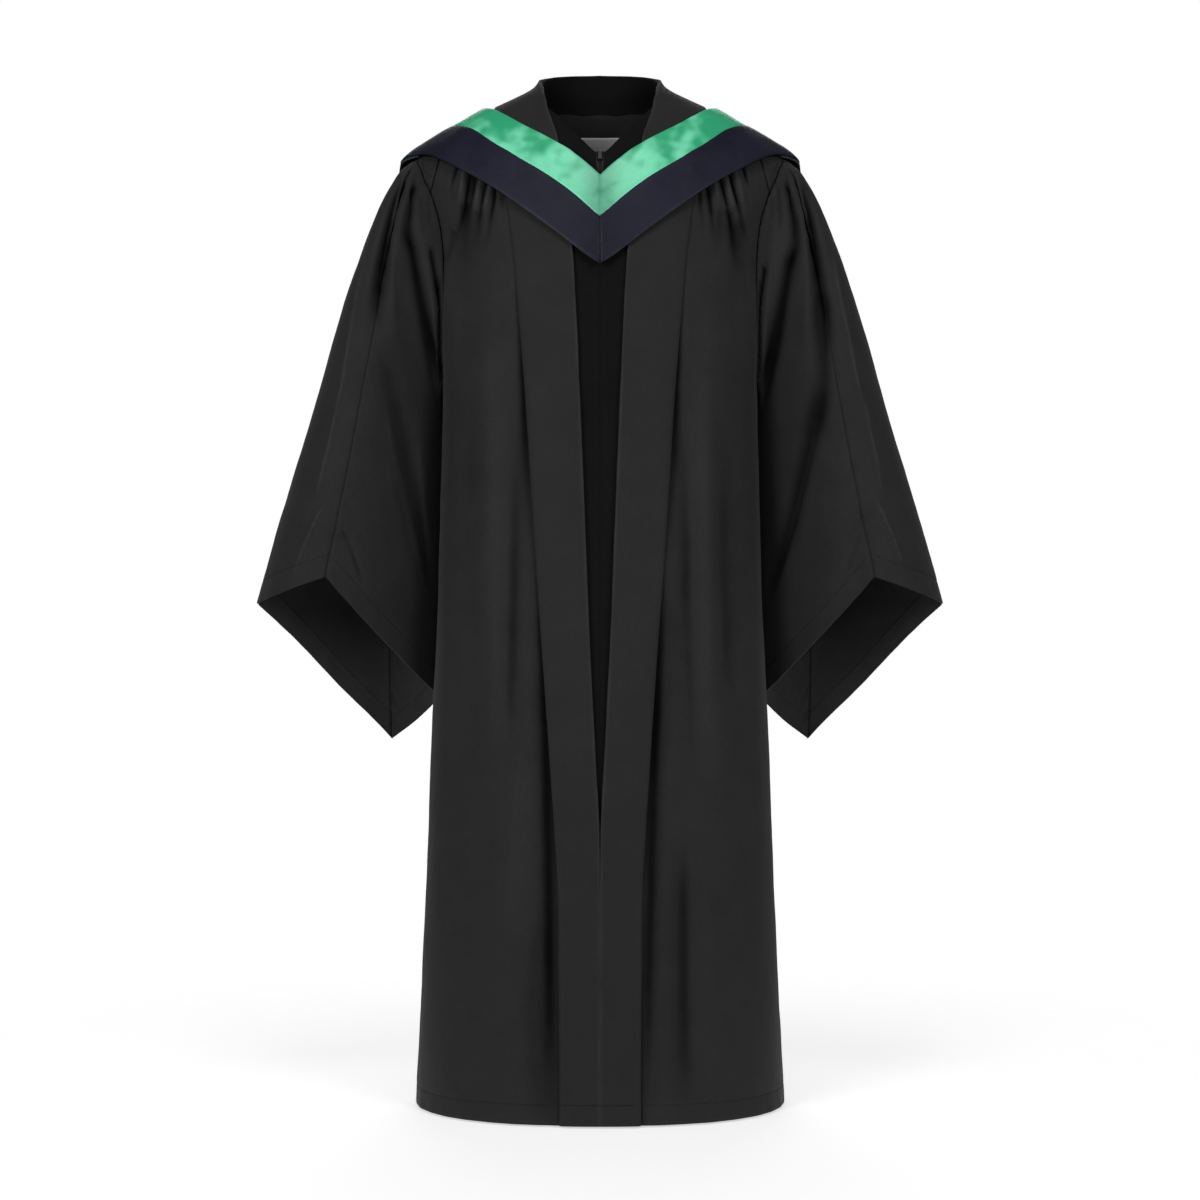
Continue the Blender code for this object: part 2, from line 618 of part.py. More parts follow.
def both_sides(half):
    """A grid across the whole body, from one that runs outward from the centre line."""
    return np.concatenate([mirrored(half, -1)[:, :0:-1], half], axis=1)


def back_yoke_points(lift=0.0):
    """Half of the back yoke's grid, from the centre line to the sleeve."""
    seam = arm_height(ARM_STEPS[BACK_YOKE_STEP]) + 2 * SEAM
    steps = ARM_STEPS[: BACK_YOKE_STEP + 1][::-1].copy()
    steps[0] = np.arccos((seam - ARM_HEIGHT) / ARM_RADIUS)
    seam_angle = np.pi - front_angle(BACK_SEAM_X, seam)
    low_angle = np.append(seam_angle, back_angle_at_depth(arm_depth(steps), arm_height(steps)))
    low = np.append(np.full(len(BACK_SEAM_X), seam), arm_height(steps))
    ridge = np.append(RIDGE_HEIGHT(BACK_RIDGE_X), arm_height(0))
    neck_angle = np.append(BACK_NECK_ANGLES, back_angle_at_depth(SEAM, NECK_TOP))
    top_angle = np.append(neck_angle, back_angle_at_depth(SEAM, ridge))
    top = np.append(np.full(len(neck_angle), NECK_TOP), ridge)
    angle, height = hanging_columns(top_angle, top, low_angle, low, BACK_YOKE_ROWS)
    last_steps = np.linspace(0, steps[-1], BACK_YOKE_ROWS)
    height[:, -1] = arm_height(last_steps)
    angle[:, -1] = back_angle_at_depth(np.maximum(arm_depth(last_steps), SEAM), height[:, -1])
    return on_form(angle, height, lift)


def back_yoke():
    return add_sheet("back_yoke", both_sides(back_yoke_points()), GOWN_WALL, BLACK_CLOTH, 0.85)


def back_lift(x, share, angle, height):
    """Gathers that fall from the yoke's seam, and the folds of the skirt below them."""
    seam = arm_height(ARM_STEPS[BACK_YOKE_STEP])
    start = blend(FLUTE_AT_SEAM, 1.0, smooth_step((seam - height) / FLUTE_GROWTH))
    fade = start * (1 - smooth_step((seam - height) / (seam - FLUTE_LOW)))
    gathers = FLUTE_RISE * np.cos(2 * np.pi * FLUTES_PER_SIDE * share) * fade
    return (gathers + folds(BACK_FOLDS, x, height)) * away_from_sides(angle)


def back_panel():
    steps = ARM_STEPS[BACK_YOKE_STEP:-1][::-1]
    level = hem_to_arm(steps)[:, None]
    outer = np.concatenate(
        [
            back_angle_at_depth(SEAM, level[:ROWS_BELOW_ARM, 0]),
            back_angle_at_depth(arm_depth(steps), arm_height(steps)),
        ]
    )[:, None]
    halves = []
    for side in (-1, 1):
        share = np.linspace(0, 1, BACK_COLUMNS)[None, :]
        angle, height = np.broadcast_arrays(blend(BACK_CENTRE, outer, share), level)
        x = side * on_form(angle, height)[..., 0]
        lift = back_lift(x, share, angle, height)
        halves.append(mirrored(on_form(angle, height, lift), side))
    points = np.concatenate([halves[0][:, :0:-1], halves[1]], axis=1)
    return add_sheet("back_panel", points, GOWN_WALL, BLACK_CLOTH, 0.85)


def station_curve(values):
    return monotone_curve(np.arange(len(values)), values)


def band_edges():
    """Angle and height of both edges of the band, by station from the hem to the shoulder ridge."""
    _, *ridge_heights = COLLAR_ROWS[0]
    edges = []
    for edge, ridge in zip(("inner", "outer"), ridge_heights, strict=True):
        height = BAND[edge + "_height"]
        angle = np.append(front_angle(BAND[edge + "_x"], height), SIDE)
        edges += [station_curve(angle), station_curve(np.append(height, ridge))]
    return edges


def front_band(side):
    inner_angle, inner, outer_angle, outer = band_edges()
    station = np.linspace(0, len(BAND_ROWS), 2 * len(BAND_ROWS) + 1)[:, None]
    station[-1] -= STATION_GAP
    across = np.linspace(0, 1, BAND_COLUMNS_ACROSS)[None, :]
    angle = blend(inner_angle(station), outer_angle(station), across)
    height = blend(inner(station), outer(station), across)
    points = on_form(angle, height, BAND_LIFT + front_lift(side, angle, height))
    name = "front_band_" + side_name(side)
    return add_sheet(name, mirrored(points, side), BAND_WALL, BLACK_CLOTH, 0.80)


def collar():
    angle = np.linspace(BACK_CENTRE, SIDE + COLLAR_GAP, COLLAR_COLUMNS_ROUND)[None, :]
    across = np.linspace(0, 1, BAND_COLUMNS_ACROSS)[:, None]
    degrees = np.degrees(angle)
    height = blend(COLLAR["inner_height"](degrees), COLLAR["outer_height"](degrees), across)
    points = both_sides(on_form(angle, height, BAND_LIFT))
    return add_sheet("collar", points, BAND_WALL, BLACK_CLOTH, 0.80)


def zip_sink(x, height):
    return ZIP_PANEL["sink"](height) * np.exp(-((x / ZIP_SINK_WIDTH) ** 2))


def zip_panel(side):
    rows, columns = ZIP_PANEL_GRID
    across = np.linspace(0, 1, columns)[None, :]
    up = 1 - (1 - np.linspace(0, 1, rows)[:, None]) ** ZIP_ROWS_CROWD_UP
    height = blend(HEM, ZIP_TOP["height"](across), up)
    outer_x = np.minimum(ZIP_PANEL["outer_x"](height), front_edge_x(height) - SEAM)
    x = blend(ZIP_PANEL["gap"](height), outer_x, across)
    angle = front_angle(x, height)
    points = on_form(angle, height, front_lift(side, angle, height) - zip_sink(x, height))
    name = "zip_panel_" + side_name(side)
    return add_sheet(name, mirrored(points, side), GOWN_WALL, INNER_BLACK, 0.90)


def zip_tape():
    rows, columns = TAPE_GRID
    x = np.linspace(0, TAPE_HALF, columns)[None, :]
    height = np.linspace(TAPE_TOP, TAPE_LOW, rows)[:, None]
    points = on_form(front_angle(x, height), height, -zip_sink(x, height) - TAPE_DROP)
    return add_sheet("zip_tape", both_sides(points), LABEL_WALL, ZIP_BLACK, 0.60)


def zip_slider():
    """A small plain slider that stands at the top of the zip, in the gap between its panels."""
    _, depth, length = SLIDER_SIZE
    height = SLIDER_HEIGHT + np.array([-length / 2, length / 2])
    below, above = on_form(0.0, height, -zip_sink(0.0, height) - TAPE_DROP)
    tilt = np.arctan2(above[1] - below[1], above[2] - below[2])
    forward = np.array([0.0, -np.cos(tilt), np.sin(tilt)])
    seat = (below + above) / 2 + forward * (LABEL_WALL / 2 + SLIDER_GAP + depth / 2)
    bpy.ops.mesh.primitive_cube_add(size=1.0, location=seat)
    obj = bpy.context.object
    obj.name = "zip_slider"
    obj.scale = SLIDER_SIZE
    bpy.ops.object.transform_apply(location=False, rotation=False, scale=True)
    obj.rotation_euler = (-tilt, 0.0, 0.0)
    bevel = obj.modifiers.new("round edges", "BEVEL")
    bevel.width = 0.0008
    bevel.segments = 2
    add_material(obj, ZIP_BLACK, 0.35, metallic=0.8)
    return obj


def label():
    """A blank label on the inside of the back yoke, on the yoke's own points moved in."""
    yoke = back_yoke_points(-LABEL_DROP)
    row, column = np.meshgrid(LABEL_YOKE_ROWS, LABEL_YOKE_COLUMNS, indexing="ij")
    i, j = row.astype(int), column.astype(int)
    down, across = (row - i)[..., None], (column - j)[..., None]
    upper = blend(yoke[i, j], yoke[i, j + 1], across)
    lower = blend(yoke[i + 1, j], yoke[i + 1, j + 1], across)
    return add_sheet("label", both_sides(blend(upper, lower, down)), LABEL_WALL, LABEL_GREY, 0.70)


def guide(line, down):
    """Points of a guide line of the sleeve, from the armhole (0) to below the cuff (1)."""
    top, low = GUIDE_ENDS[line]
    height = blend(top, low, down)
    return np.stack([GUIDES[line]["x"](height), GUIDES[line]["y"](height), height], axis=-1)


def arm_loop(step, front):
    height = arm_height(step, ARM_GAP)
    depth = arm_depth(step, ARM_GAP)
    angle = angle_at_depth(depth, height) if front else back_angle_at_depth(depth, height)
    return on_form(angle, height, ARM_LIFT * (step / np.pi) ** 2)


def sleeve_form(across, down, front):
    """Points of a sleeve's front or back, across from its outer (0) to its inner (1) fold."""
    across, down = np.broadcast_arrays(across, down)
    seam, roundness = (FRONT_SEAM, FRONT_ROUND) if front else (BACK_SEAM, BACK_ROUND)
    line = FRONT_LINE if front else BACK_LINE
    first, second = roundness, roundness * (1 - seam) / seam
    swell = ((across / seam) ** first * ((1 - across) / (1 - seam)) ** second)[..., None]
    share = across[..., None]

    def section(level):
        outer, middle, inner = guide(OUTER_LINE, level), guide(line, level), guide(INNER_LINE, level)
        return blend(outer, inner, share) + (middle - blend(outer, inner, seam)) * swell

    step = np.where(
        across < seam,
        ARM_STEPS[0] * across / seam,
        blend(ARM_STEPS[0], np.pi, (across - seam) / (1 - seam)),
    )
    near_arm = np.clip(1 - down / ARM_BLEND, 0, 1)[..., None] ** 3
    clear_of_body = np.clip(down / ARM_CLEAR_BY, 0, 1)[..., None] * np.array([ARM_CLEAR, 0.0, 0.0])
    from_loop = arm_loop(step, front) - section(np.zeros_like(down)) + clear_of_body
    return section(down) + near_arm * from_loop


def cuff_height(across, x, front):
    """The height of the cuff's edge at this x, on straight lines between its corners."""
    seam = FRONT_SEAM if front else BACK_SEAM
    middle = CUFF_FRONT if front else CUFF_BACK
    outer_run = middle[1] + (x - middle[0]) * (CUFF_OUTER[1] - middle[1]) / (CUFF_OUTER[0] - middle[0])
    inner_run = middle[1] + (x - middle[0]) * (CUFF_INNER[1] - middle[1]) / (CUFF_INNER[0] - middle[0])
    return np.where(across < seam, outer_run, inner_run)


def cuff_place(across, front):
    """How far down each column of the sleeve reaches its cuff, found by halving."""
    high, low = np.full(across.shape, CUFF_SEARCH_FROM), np.ones(across.shape)
    for _ in range(CUFF_SEARCH_STEPS):
        middle = (high + low) / 2
        points = sleeve_form(across, middle, front)
        above = points[..., 2] > cuff_height(across, points[..., 0], front)
        high, low = np.where(above, middle, high), np.where(above, low, middle)
    return high


def sleeve_columns(across, front, side, seam_side):
    """Columns of a sleeve from its armhole to its cuff, with their folds and the gap at its seam."""
    on_seam = seam_side * (across == (FRONT_SEAM if front else BACK_SEAM))
    gap_at_arm, gap_at_cuff = SLEEVE_SEAM_GAPS
    rows = np.linspace(0, 1, SLEEVE_ROWS)[:, None]
    share = across + on_seam * blend(gap_at_arm, gap_at_cuff, rows)
    down = rows**SLEEVE_ROWS_CROWD_UP * cuff_place(share[-1], front)
    points = sleeve_form(share, down, front)
    table = SLEEVE_FRONT_FOLDS[side] if front else SLEEVE_BACK_FOLDS
    rise = folds(table, points[..., 0], points[..., 2])
    rise *= smooth_step(share / SLEEVE_FOLD_FADE) * smooth_step((1 - share) / SLEEVE_FOLD_FADE)
    rise *= smooth_step(down / ARM_FOLD_FADE)
    return points + rise[..., None] * (FRONT_OUTWARD if front else BACK_OUTWARD)


def sleeve_panels(side):
    arm_share = (ARM_STEPS - ARM_STEPS[0]) / (np.pi - ARM_STEPS[0])
    outer_share = np.linspace(1, 0, SLEEVE_OUTER_COLUMNS) ** 2
    front_inner = FRONT_SEAM + (1 - FRONT_SEAM) * arm_share
    back_inner = BACK_SEAM + (1 - BACK_SEAM) * arm_share[::-1]
    front_outer = FRONT_SEAM * outer_share
    back_outer = BACK_SEAM * outer_share[::-1]
    pieces = (
        ("sleeve_inner_", front_inner, back_inner[1:], 1),
        ("sleeve_outer_", front_outer, back_outer[1:], -1),
    )
    for name, front_share, back_share, seam_side in pieces:
        front = sleeve_columns(front_share, True, side, seam_side)
        back = sleeve_columns(back_share, False, side, seam_side)
        points = mirrored(np.concatenate([front, back], axis=1), side)
        add_sheet(name + side_name(side), points, GOWN_WALL, BLACK_CLOTH, 0.85)


def hood_edges():
    """Angle, height and lift of the hood's three edges, by station from front to back."""
    front, back = columns_of(HOOD_COLUMNS, HOOD_FRONT_ROWS), columns_of(HOOD_COLUMNS, HOOD_BACK_ROWS)
    edges = {}
    for edge, (ridge, ridge_lift) in HOOD_RIDGE.items():
        x, height = edge + "_x", edge + "_height"
        front_side = front_angle(front[x], front[height], "over")
        back_side = np.pi - front_angle(back[x], back[height], "over")
        angles = np.concatenate([front_side, [SIDE], back_side])
        heights = np.concatenate([front[height], [ridge], back[height]])
        lifts = np.concatenate([front["lift"], [ridge_lift], back["lift"]])
        edges[edge] = [station_curve(column) for column in (angles, heights, lifts)]
    return edges


def hood_strip(first, second, stations, across, cowl=0.0):
    """A strip of the hood between two of its edges, over these stations."""
    edges = hood_edges()
    station, share = np.array(stations)[:, None], np.array(across)[None, :]
    start, end = [[curve(station) for curve in edges[edge]] for edge in (first, second)]
    angle, height, lift = [blend(a, b, share) for a, b in zip(start, end, strict=True)]
    behind = smooth_step((station - HOOD_AT_RIDGE) / COWL_GROWTH)
    wave = cowl * behind * np.sin(2 * np.pi * COWL_FOLDS * share)
    return on_form(angle, height, lift + wave, "over")


def hood_stations(first, last):
    """Stations of a strip, two for each row of the tables, drawn in from the seams at its ends."""
    stations = np.arange(2 * first, 2 * last + 1) / 2
    stations[0] += STATION_GAP if first else HOOD_MITRE
    stations[-1] -= STATION_GAP if last == HOOD_AT_RIDGE else HOOD_MITRE
    return stations


def hood():
    last = HOOD_AT_RIDGE + len(HOOD_BACK_ROWS)
    for side in (1, -1):
        whole = hood_stations(0, last)
        trim = hood_strip("inner", "join", whole, np.linspace(0, 1 - HOOD_SEAM, HOOD_COLUMNS_ACROSS))
        add_sheet("hood_trim_" + side_name(side), mirrored(trim, side), HOOD_WALL, GREEN_SATIN, 0.45)
        front = hood_stations(0, HOOD_AT_RIDGE)
        band = hood_strip("join", "outer", front, np.linspace(HOOD_SEAM, 1, HOOD_COLUMNS_ACROSS))
        add_sheet("hood_band_" + side_name(side), mirrored(band, side), HOOD_WALL, NAVY_SATIN, 0.50)
    behind = hood_stations(HOOD_AT_RIDGE, last)[::-1].copy()
    behind[0] = last
    across = np.linspace(HOOD_SEAM, 1, COWL_COLUMNS_ACROSS)
    back = hood_strip("join", "outer", behind, across, COWL_RISE)
    points = both_sides(back.transpose(1, 0, 2))
    add_sheet("hood_back", points, HOOD_WALL, NAVY_SATIN, 0.50)


def clear_scene():
    for obj in list(bpy.data.objects):
        bpy.data.objects.remove(obj, do_unlink=True)


def build():
    clear_scene()
    for side in (1, -1):
        front_panel(side)
        front_yoke(side)
        front_band(side)
        zip_panel(side)
        sleeve_panels(side)
    back_yoke()
    back_panel()
    collar()
    zip_tape()
    zip_slider()
    label()
    hood()


build()
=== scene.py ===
"""Looks of the graduation gown and its hood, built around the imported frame.

+Z is up, -Y is the front and +X is the wearer's left, in metres, as in the frame. Each sewn piece
is a fine grid of cloth on the same body form as its solid, with rolled edges, seams, creases and
folds, and stands for that solid. Stitches, zip teeth and the rolled lining are pieces of their own.
"""

import json

import bpy
import numpy as np
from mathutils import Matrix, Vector, noise

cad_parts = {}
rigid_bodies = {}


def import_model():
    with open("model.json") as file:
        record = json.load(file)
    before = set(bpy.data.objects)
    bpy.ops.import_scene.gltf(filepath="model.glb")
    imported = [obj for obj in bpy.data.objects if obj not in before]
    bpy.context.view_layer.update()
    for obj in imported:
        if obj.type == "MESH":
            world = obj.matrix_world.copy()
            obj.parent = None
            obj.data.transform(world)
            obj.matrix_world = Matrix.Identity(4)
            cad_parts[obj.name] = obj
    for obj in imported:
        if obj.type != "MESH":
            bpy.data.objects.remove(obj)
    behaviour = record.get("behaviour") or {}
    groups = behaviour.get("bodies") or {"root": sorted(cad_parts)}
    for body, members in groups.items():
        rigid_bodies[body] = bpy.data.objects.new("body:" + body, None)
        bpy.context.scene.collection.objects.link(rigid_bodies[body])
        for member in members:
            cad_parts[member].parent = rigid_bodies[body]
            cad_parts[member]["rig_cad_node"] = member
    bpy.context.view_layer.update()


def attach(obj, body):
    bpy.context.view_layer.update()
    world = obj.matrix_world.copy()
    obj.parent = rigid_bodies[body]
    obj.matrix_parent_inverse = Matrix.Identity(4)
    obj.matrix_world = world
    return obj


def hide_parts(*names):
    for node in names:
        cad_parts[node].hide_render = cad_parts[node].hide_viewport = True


# Lengths of the whole gown
HEM = -1.124
NECK_TOP = 0.036

# Cloth walls, and how far each layer lies outside the body form
GOWN_WALL = 0.0012
BAND_WALL = 0.0020
HOOD_WALL = 0.0020
LABEL_WALL = 0.0010
BAND_LIFT = 0.0030
TAPE_DROP = 0.0018
LABEL_DROP = 0.0016

# Half the gap between two pieces that meet edge to edge
SEAM = 0.0004

# Gaps where pieces meet, in stations of a strip, shares of its width or radians
STATION_GAP = 0.018
HOOD_MITRE = 0.006
HOOD_SEAM = 0.004
COLLAR_GAP = 0.006
YOKE_TIP_GAP = 0.007
SLEEVE_SEAM_GAPS = (0.0010, 0.0004)

# Shares of a step between columns at which an edge rolls over
EDGE_SHARES = np.array((0.0, 0.12, 0.40))
# Step over which the slope of the body form is measured
SLOPE_STEP = 0.0005
# Angles this near the side of the body count as the ridge of the shoulder
RIDGE_WIDTH = 0.05
# How fast the folds of a panel rise from the sides of the body
SIDE_FADE = 2.2

# How finely the pieces are divided
ARM_TIMES = 4
PANEL_ROWS = 90
HEM_ROWS = 28
FRONT_COLUMNS = 88
BACK_COLUMNS = 64
CORNER_ROWS = 10
FRONT_YOKE_ROWS = 22
BACK_YOKE_ROWS = 33
YOKE_TIMES = 4
SLEEVE_ROWS = 96
CUFF_ROWS = 30
SLEEVE_OUTER_COLUMNS = 60
BAND_TIMES = 14
BAND_ROWS_AT_HEM = 28
BAND_COLUMNS_ACROSS = 12
COLLAR_COLUMNS_ROUND = 46
FOLD_COLUMNS_ROUND = 7
FACING_COLUMNS = 6
ZIP_PANEL_GRID = (170, 20)
TAPE_GRID = (120, 5)
LABEL_GRID = (22, 20)
HOOD_TIMES = 12
HOOD_COLUMNS_ACROSS = 16
COWL_COLUMNS_ACROSS = 48

SIDE = np.pi / 2
BACK_CENTRE = np.pi
OUTER_LINE, FRONT_LINE, INNER_LINE, BACK_LINE = range(4)

# Sections of the body form. "over" is the half width over the heads of the sleeves.
BODY_COLUMNS = ("height", "half", "over", "front", "back", "square")
BODY_ROWS = (
    (0.0750, 0.0660, 0.0660, 0.030, 0.060, 2.00),
    (0.0580, 0.0672, 0.0672, 0.032, 0.061, 2.00),
    (0.0486, 0.0722, 0.0722, 0.035, 0.062, 2.00),
    (0.0413, 0.0815, 0.0815, 0.038, 0.064, 2.00),
    (0.0341, 0.0955, 0.0955, 0.042, 0.066, 2.00),
    (0.0237, 0.1178, 0.1178, 0.046, 0.069, 2.00),
    (0.0165, 0.1340, 0.1340, 0.050, 0.073, 2.00),
    (-0.0015, 0.1665, 0.1665, 0.061, 0.083, 2.00),
    (-0.0230, 0.1990, 0.1990, 0.073, 0.094, 2.00),
    (-0.0360, 0.2155, 0.2155, 0.080, 0.100, 2.00),
    (-0.0450, 0.2205, 0.2230, 0.085, 0.103, 2.00),
    (-0.0600, 0.2200, 0.2350, 0.091, 0.108, 2.00),
    (-0.0800, 0.2130, 0.2455, 0.099, 0.113, 2.00),
    (-0.1200, 0.2000, 0.2620, 0.111, 0.119, 2.03),
    (-0.1600, 0.1930, 0.2765, 0.119, 0.122, 2.10),
    (-0.2000, 0.1880, 0.2900, 0.124, 0.124, 2.20),
    (-0.2500, 0.1840, 0.3065, 0.127, 0.125, 2.30),
    (-0.3000, 0.1810, 0.3220, 0.128, 0.126, 2.40),
    (-0.4300, 0.1840, 0.3610, 0.129, 0.127, 2.50),
    (-0.5450, 0.1868, 0.3945, 0.130, 0.129, 2.54),
    (-0.6840, 0.1932, 0.3945, 0.134, 0.133, 2.54),
    (-0.8930, 0.2013, 0.3945, 0.143, 0.144, 2.45),
    (-1.1240, 0.2125, 0.3945, 0.155, 0.155, 2.25),
)

# Where the ridge of the shoulder ends and the sleeve's head begins
RIDGE_LOW = -0.046

# Armhole: an upright oval on the body form, measured by its own angle from the shoulder
# tip (0), over the front or the back, to the armpit (180 degrees)
ARM_HEIGHT = -0.168
ARM_RADIUS = 0.132
ARM_DEPTH = 0.049
ARM_ROUND = 0.55
ARM_STEPS = np.radians((12, 24, 36, 48, 60, 72, 84, 96, 108, 120, 132, 144, 155, 165, 173, 180))
ARM_GAP = 0.0009
ARM_LIFT = 0.0018
FRONT_YOKE_STEP = 3
BACK_YOKE_STEP = 4

# Seam between the front panel and the yoke above it, from the band to the sleeve
YOKE_COLUMNS = ("x", "height")
YOKE_ROWS = (
    (0.090, -0.0930),
    (0.105, -0.0850),
    (0.135, -0.0640),
    (0.165, -0.0470),
    (0.182, -0.0380),
)

YOKE_INNER_X = 0.092
YOKE_SEAM = 0.0013
YOKE_RIDGE_OUTER_X = 0.172
YOKE_RIDGE_X = (0.177, 0.183, 0.190, 0.200)
BACK_NECK_ANGLES = np.radians((180, 164, 146, 128, 109))
BACK_SEAM_X = np.array((0.0, 0.0105, 0.040, 0.064, 0.086, 0.106, 0.126, 0.144, 0.160))
BACK_RIDGE_X = (0.107, 0.128, 0.148, 0.160, 0.172, 0.184, 0.198)
TOP_SPREAD_LOW = -0.20

# Band that runs from the hem up each front edge and round the neck
BAND_COLUMNS = ("inner_x", "inner_height", "outer_x", "outer_height")
BAND_ROWS = (
    (0.0002, -1.1240, 0.0445, -1.1240),
    (0.0002, -1.0050, 0.0450, -1.0050),
    (0.0002, -0.8850, 0.0460, -0.8850),
    (0.0010, -0.8050, 0.0500, -0.8050),
    (0.0060, -0.7050, 0.0568, -0.7050),
    (0.0119, -0.5860, 0.0652, -0.5860),
    (0.0167, -0.4650, 0.0732, -0.4650),
    (0.0226, -0.3180, 0.0833, -0.3150),
    (0.0279, -0.2000, 0.0920, -0.2030),
    (0.0316, -0.1457, 0.0970, -0.1500),
    (0.0345, -0.1150, 0.1010, -0.1220),
    (0.0400, -0.0700, 0.1070, -0.0800),
    (0.0477, -0.0260, 0.1145, -0.0420),
    (0.0548, -0.0009, 0.1200, -0.0180),
    (0.0612, 0.0237, 0.1235, 0.0050),
    (0.0645, 0.0420, 0.1220, 0.0180),
)
COLLAR_COLUMNS = ("angle", "inner_height", "outer_height")
COLLAR_ROWS = (
    (90, 0.0580, 0.0237),
    (112, 0.0640, 0.0265),
    (135, 0.0700, 0.0285),
    (157, 0.0735, 0.0290),
    (180, 0.0750, 0.0290),
)
BAND_OVERLAP = 0.0150

# Zipped inner front: its top edge from the zip to the band, and how deep it sinks at the zip
ZIP_TOP_COLUMNS = ("across", "height")
ZIP_TOP_ROWS = (
    (0.0, -0.0352),
    (0.187, -0.0229),
    (0.262, -0.0178),
    (0.440, -0.0062),
    (0.633, 0.0061),
    (0.785, 0.0144),
    (0.882, 0.0222),
    (0.940, 0.0340),
    (1.0, 0.0500),
)
ZIP_PANEL_COLUMNS = ("height", "gap", "outer_x", "sink")
ZIP_PANEL_ROWS = (
    (0.050, 0.0060, 0.0698, 0.0000),
    (0.034, 0.0060, 0.0695, 0.0000),
    (0.022, 0.0060, 0.0690, 0.0000),
    (-0.030, 0.0055, 0.0780, 0.0060),
    (-0.043, 0.0050, 0.0810, 0.0075),
    (-0.062, 0.0030, 0.0860, 0.0075),
    (-0.085, 0.0001, 0.0895, 0.0075),
    (-0.200, 0.0001, 0.0763, 0.0070),
    (-0.465, 0.0001, 0.0572, 0.0060),
    (-0.705, 0.0001, 0.0408, 0.0035),
    (-0.885, 0.0001, 0.0300, 0.0015),
    (-1.124, 0.0001, 0.0285, 0.0010),
)
ZIP_SINK_WIDTH = 0.030
ZIP_ROWS_CROWD_UP = 1.6
TAPE_TOP = -0.0335
TAPE_LOW = -0.8200
TAPE_HALF = 0.0120

# Upper and lower edge of the label and its side, counted in rows and columns of the back yoke
LABEL_YOKE_ROWS = (1.78, 4.20)
LABEL_YOKE_COLUMN = 1.0

# Guide lines of a sleeve, each from the armhole down past the cuff
SLEEVE_COLUMNS = ("height", "x", "y")
OUTER_ROWS = (
    (-0.0360, 0.2155, 0.000),
    (-0.0500, 0.2245, 0.000),
    (-0.0580, 0.2300, 0.001),
    (-0.0810, 0.2418, 0.002),
    (-0.1510, 0.2706, 0.004),
    (-0.2430, 0.3036, 0.005),
    (-0.3360, 0.3318, 0.004),
    (-0.4290, 0.3612, 0.002),
    (-0.5220, 0.3888, 0.000),
    (-0.5496, 0.3962, 0.000),
    (-0.6200, 0.4180, 0.000),
)
FRONT_ROWS = (
    (-0.0389, 0.2118, -0.021),
    (-0.0675, 0.2217, -0.050),
    (-0.1150, 0.2320, -0.064),
    (-0.1720, 0.2432, -0.072),
    (-0.2190, 0.2511, -0.078),
    (-0.3000, 0.2660, -0.084),
    (-0.4000, 0.2840, -0.091),
    (-0.5192, 0.3078, -0.100),
    (-0.6700, 0.3300, -0.110),
)
INNER_ROWS = (
    (-0.3000, 0.1822, 0.000),
    (-0.3150, 0.1824, 0.008),
    (-0.3350, 0.1816, 0.022),
    (-0.3650, 0.1800, 0.036),
    (-0.4200, 0.1800, 0.044),
    (-0.5200, 0.1830, 0.050),
    (-0.6600, 0.1885, 0.055),
    (-0.7460, 0.1930, 0.058),
)
BACK_ROWS = (
    (-0.0389, 0.2118, 0.021),
    (-0.0750, 0.2235, 0.047),
    (-0.1150, 0.2350, 0.066),
    (-0.1900, 0.2430, 0.085),
    (-0.3000, 0.2500, 0.105),
    (-0.4500, 0.2530, 0.115),
    (-0.6000, 0.2530, 0.120),
    (-0.7130, 0.2510, 0.120),
    (-0.7500, 0.2500, 0.120),
)
# Corners of the open cuff, as x and height
CUFF_OUTER = (0.3973, -0.5496)
CUFF_FRONT = (0.3078, -0.5192)
CUFF_INNER = (0.1885, -0.6605)
CUFF_BACK = (0.2510, -0.7130)
CUFF_SEARCH_FROM = 0.3
CUFF_SEARCH_STEPS = 30
# Where the seams lie between the outer (0) and the inner (1) fold of a sleeve, and how
# round the cloth is from each fold to the seam
FRONT_SEAM = 0.42
FRONT_ROUND = 0.69
BACK_SEAM = 0.55
BACK_ROUND = 0.80
ARM_BLEND = 0.45
ARM_CLEAR = (0.0060, 0.0, 0.0)
ARM_TUCK = (0.0004, 0.0120, 0.0)
ARM_TUCK_FROM = 0.84
ARM_CLEAR_BY = 0.04

# Edges of the hood on the body form, from the front centre to the ridge of the shoulder
HOOD_COLUMNS = ("inner_x", "inner_height", "join_x", "join_height", "outer_x", "outer_height", "lift")
HOOD_FRONT_ROWS = (
    (0.0000, -0.0715, 0.0000, -0.1189, 0.0000, -0.1722, 0.0075),
    (0.0183, -0.0538, 0.0332, -0.0893, 0.0495, -0.1355, 0.0075),
    (0.0466, -0.0329, 0.0666, -0.0649, 0.0884, -0.1060, 0.0075),
    (0.0734, -0.0169, 0.0946, -0.0469, 0.1186, -0.0840, 0.0078),
    (0.1050, 0.0028, 0.1252, -0.0260, 0.1492, -0.0647, 0.0080),
    (0.1206, 0.0120, 0.1422, -0.0129, 0.1753, -0.0496, 0.0080),
    (0.1322, 0.0163, 0.1592, -0.0047, 0.2014, -0.0377, 0.0064),
)
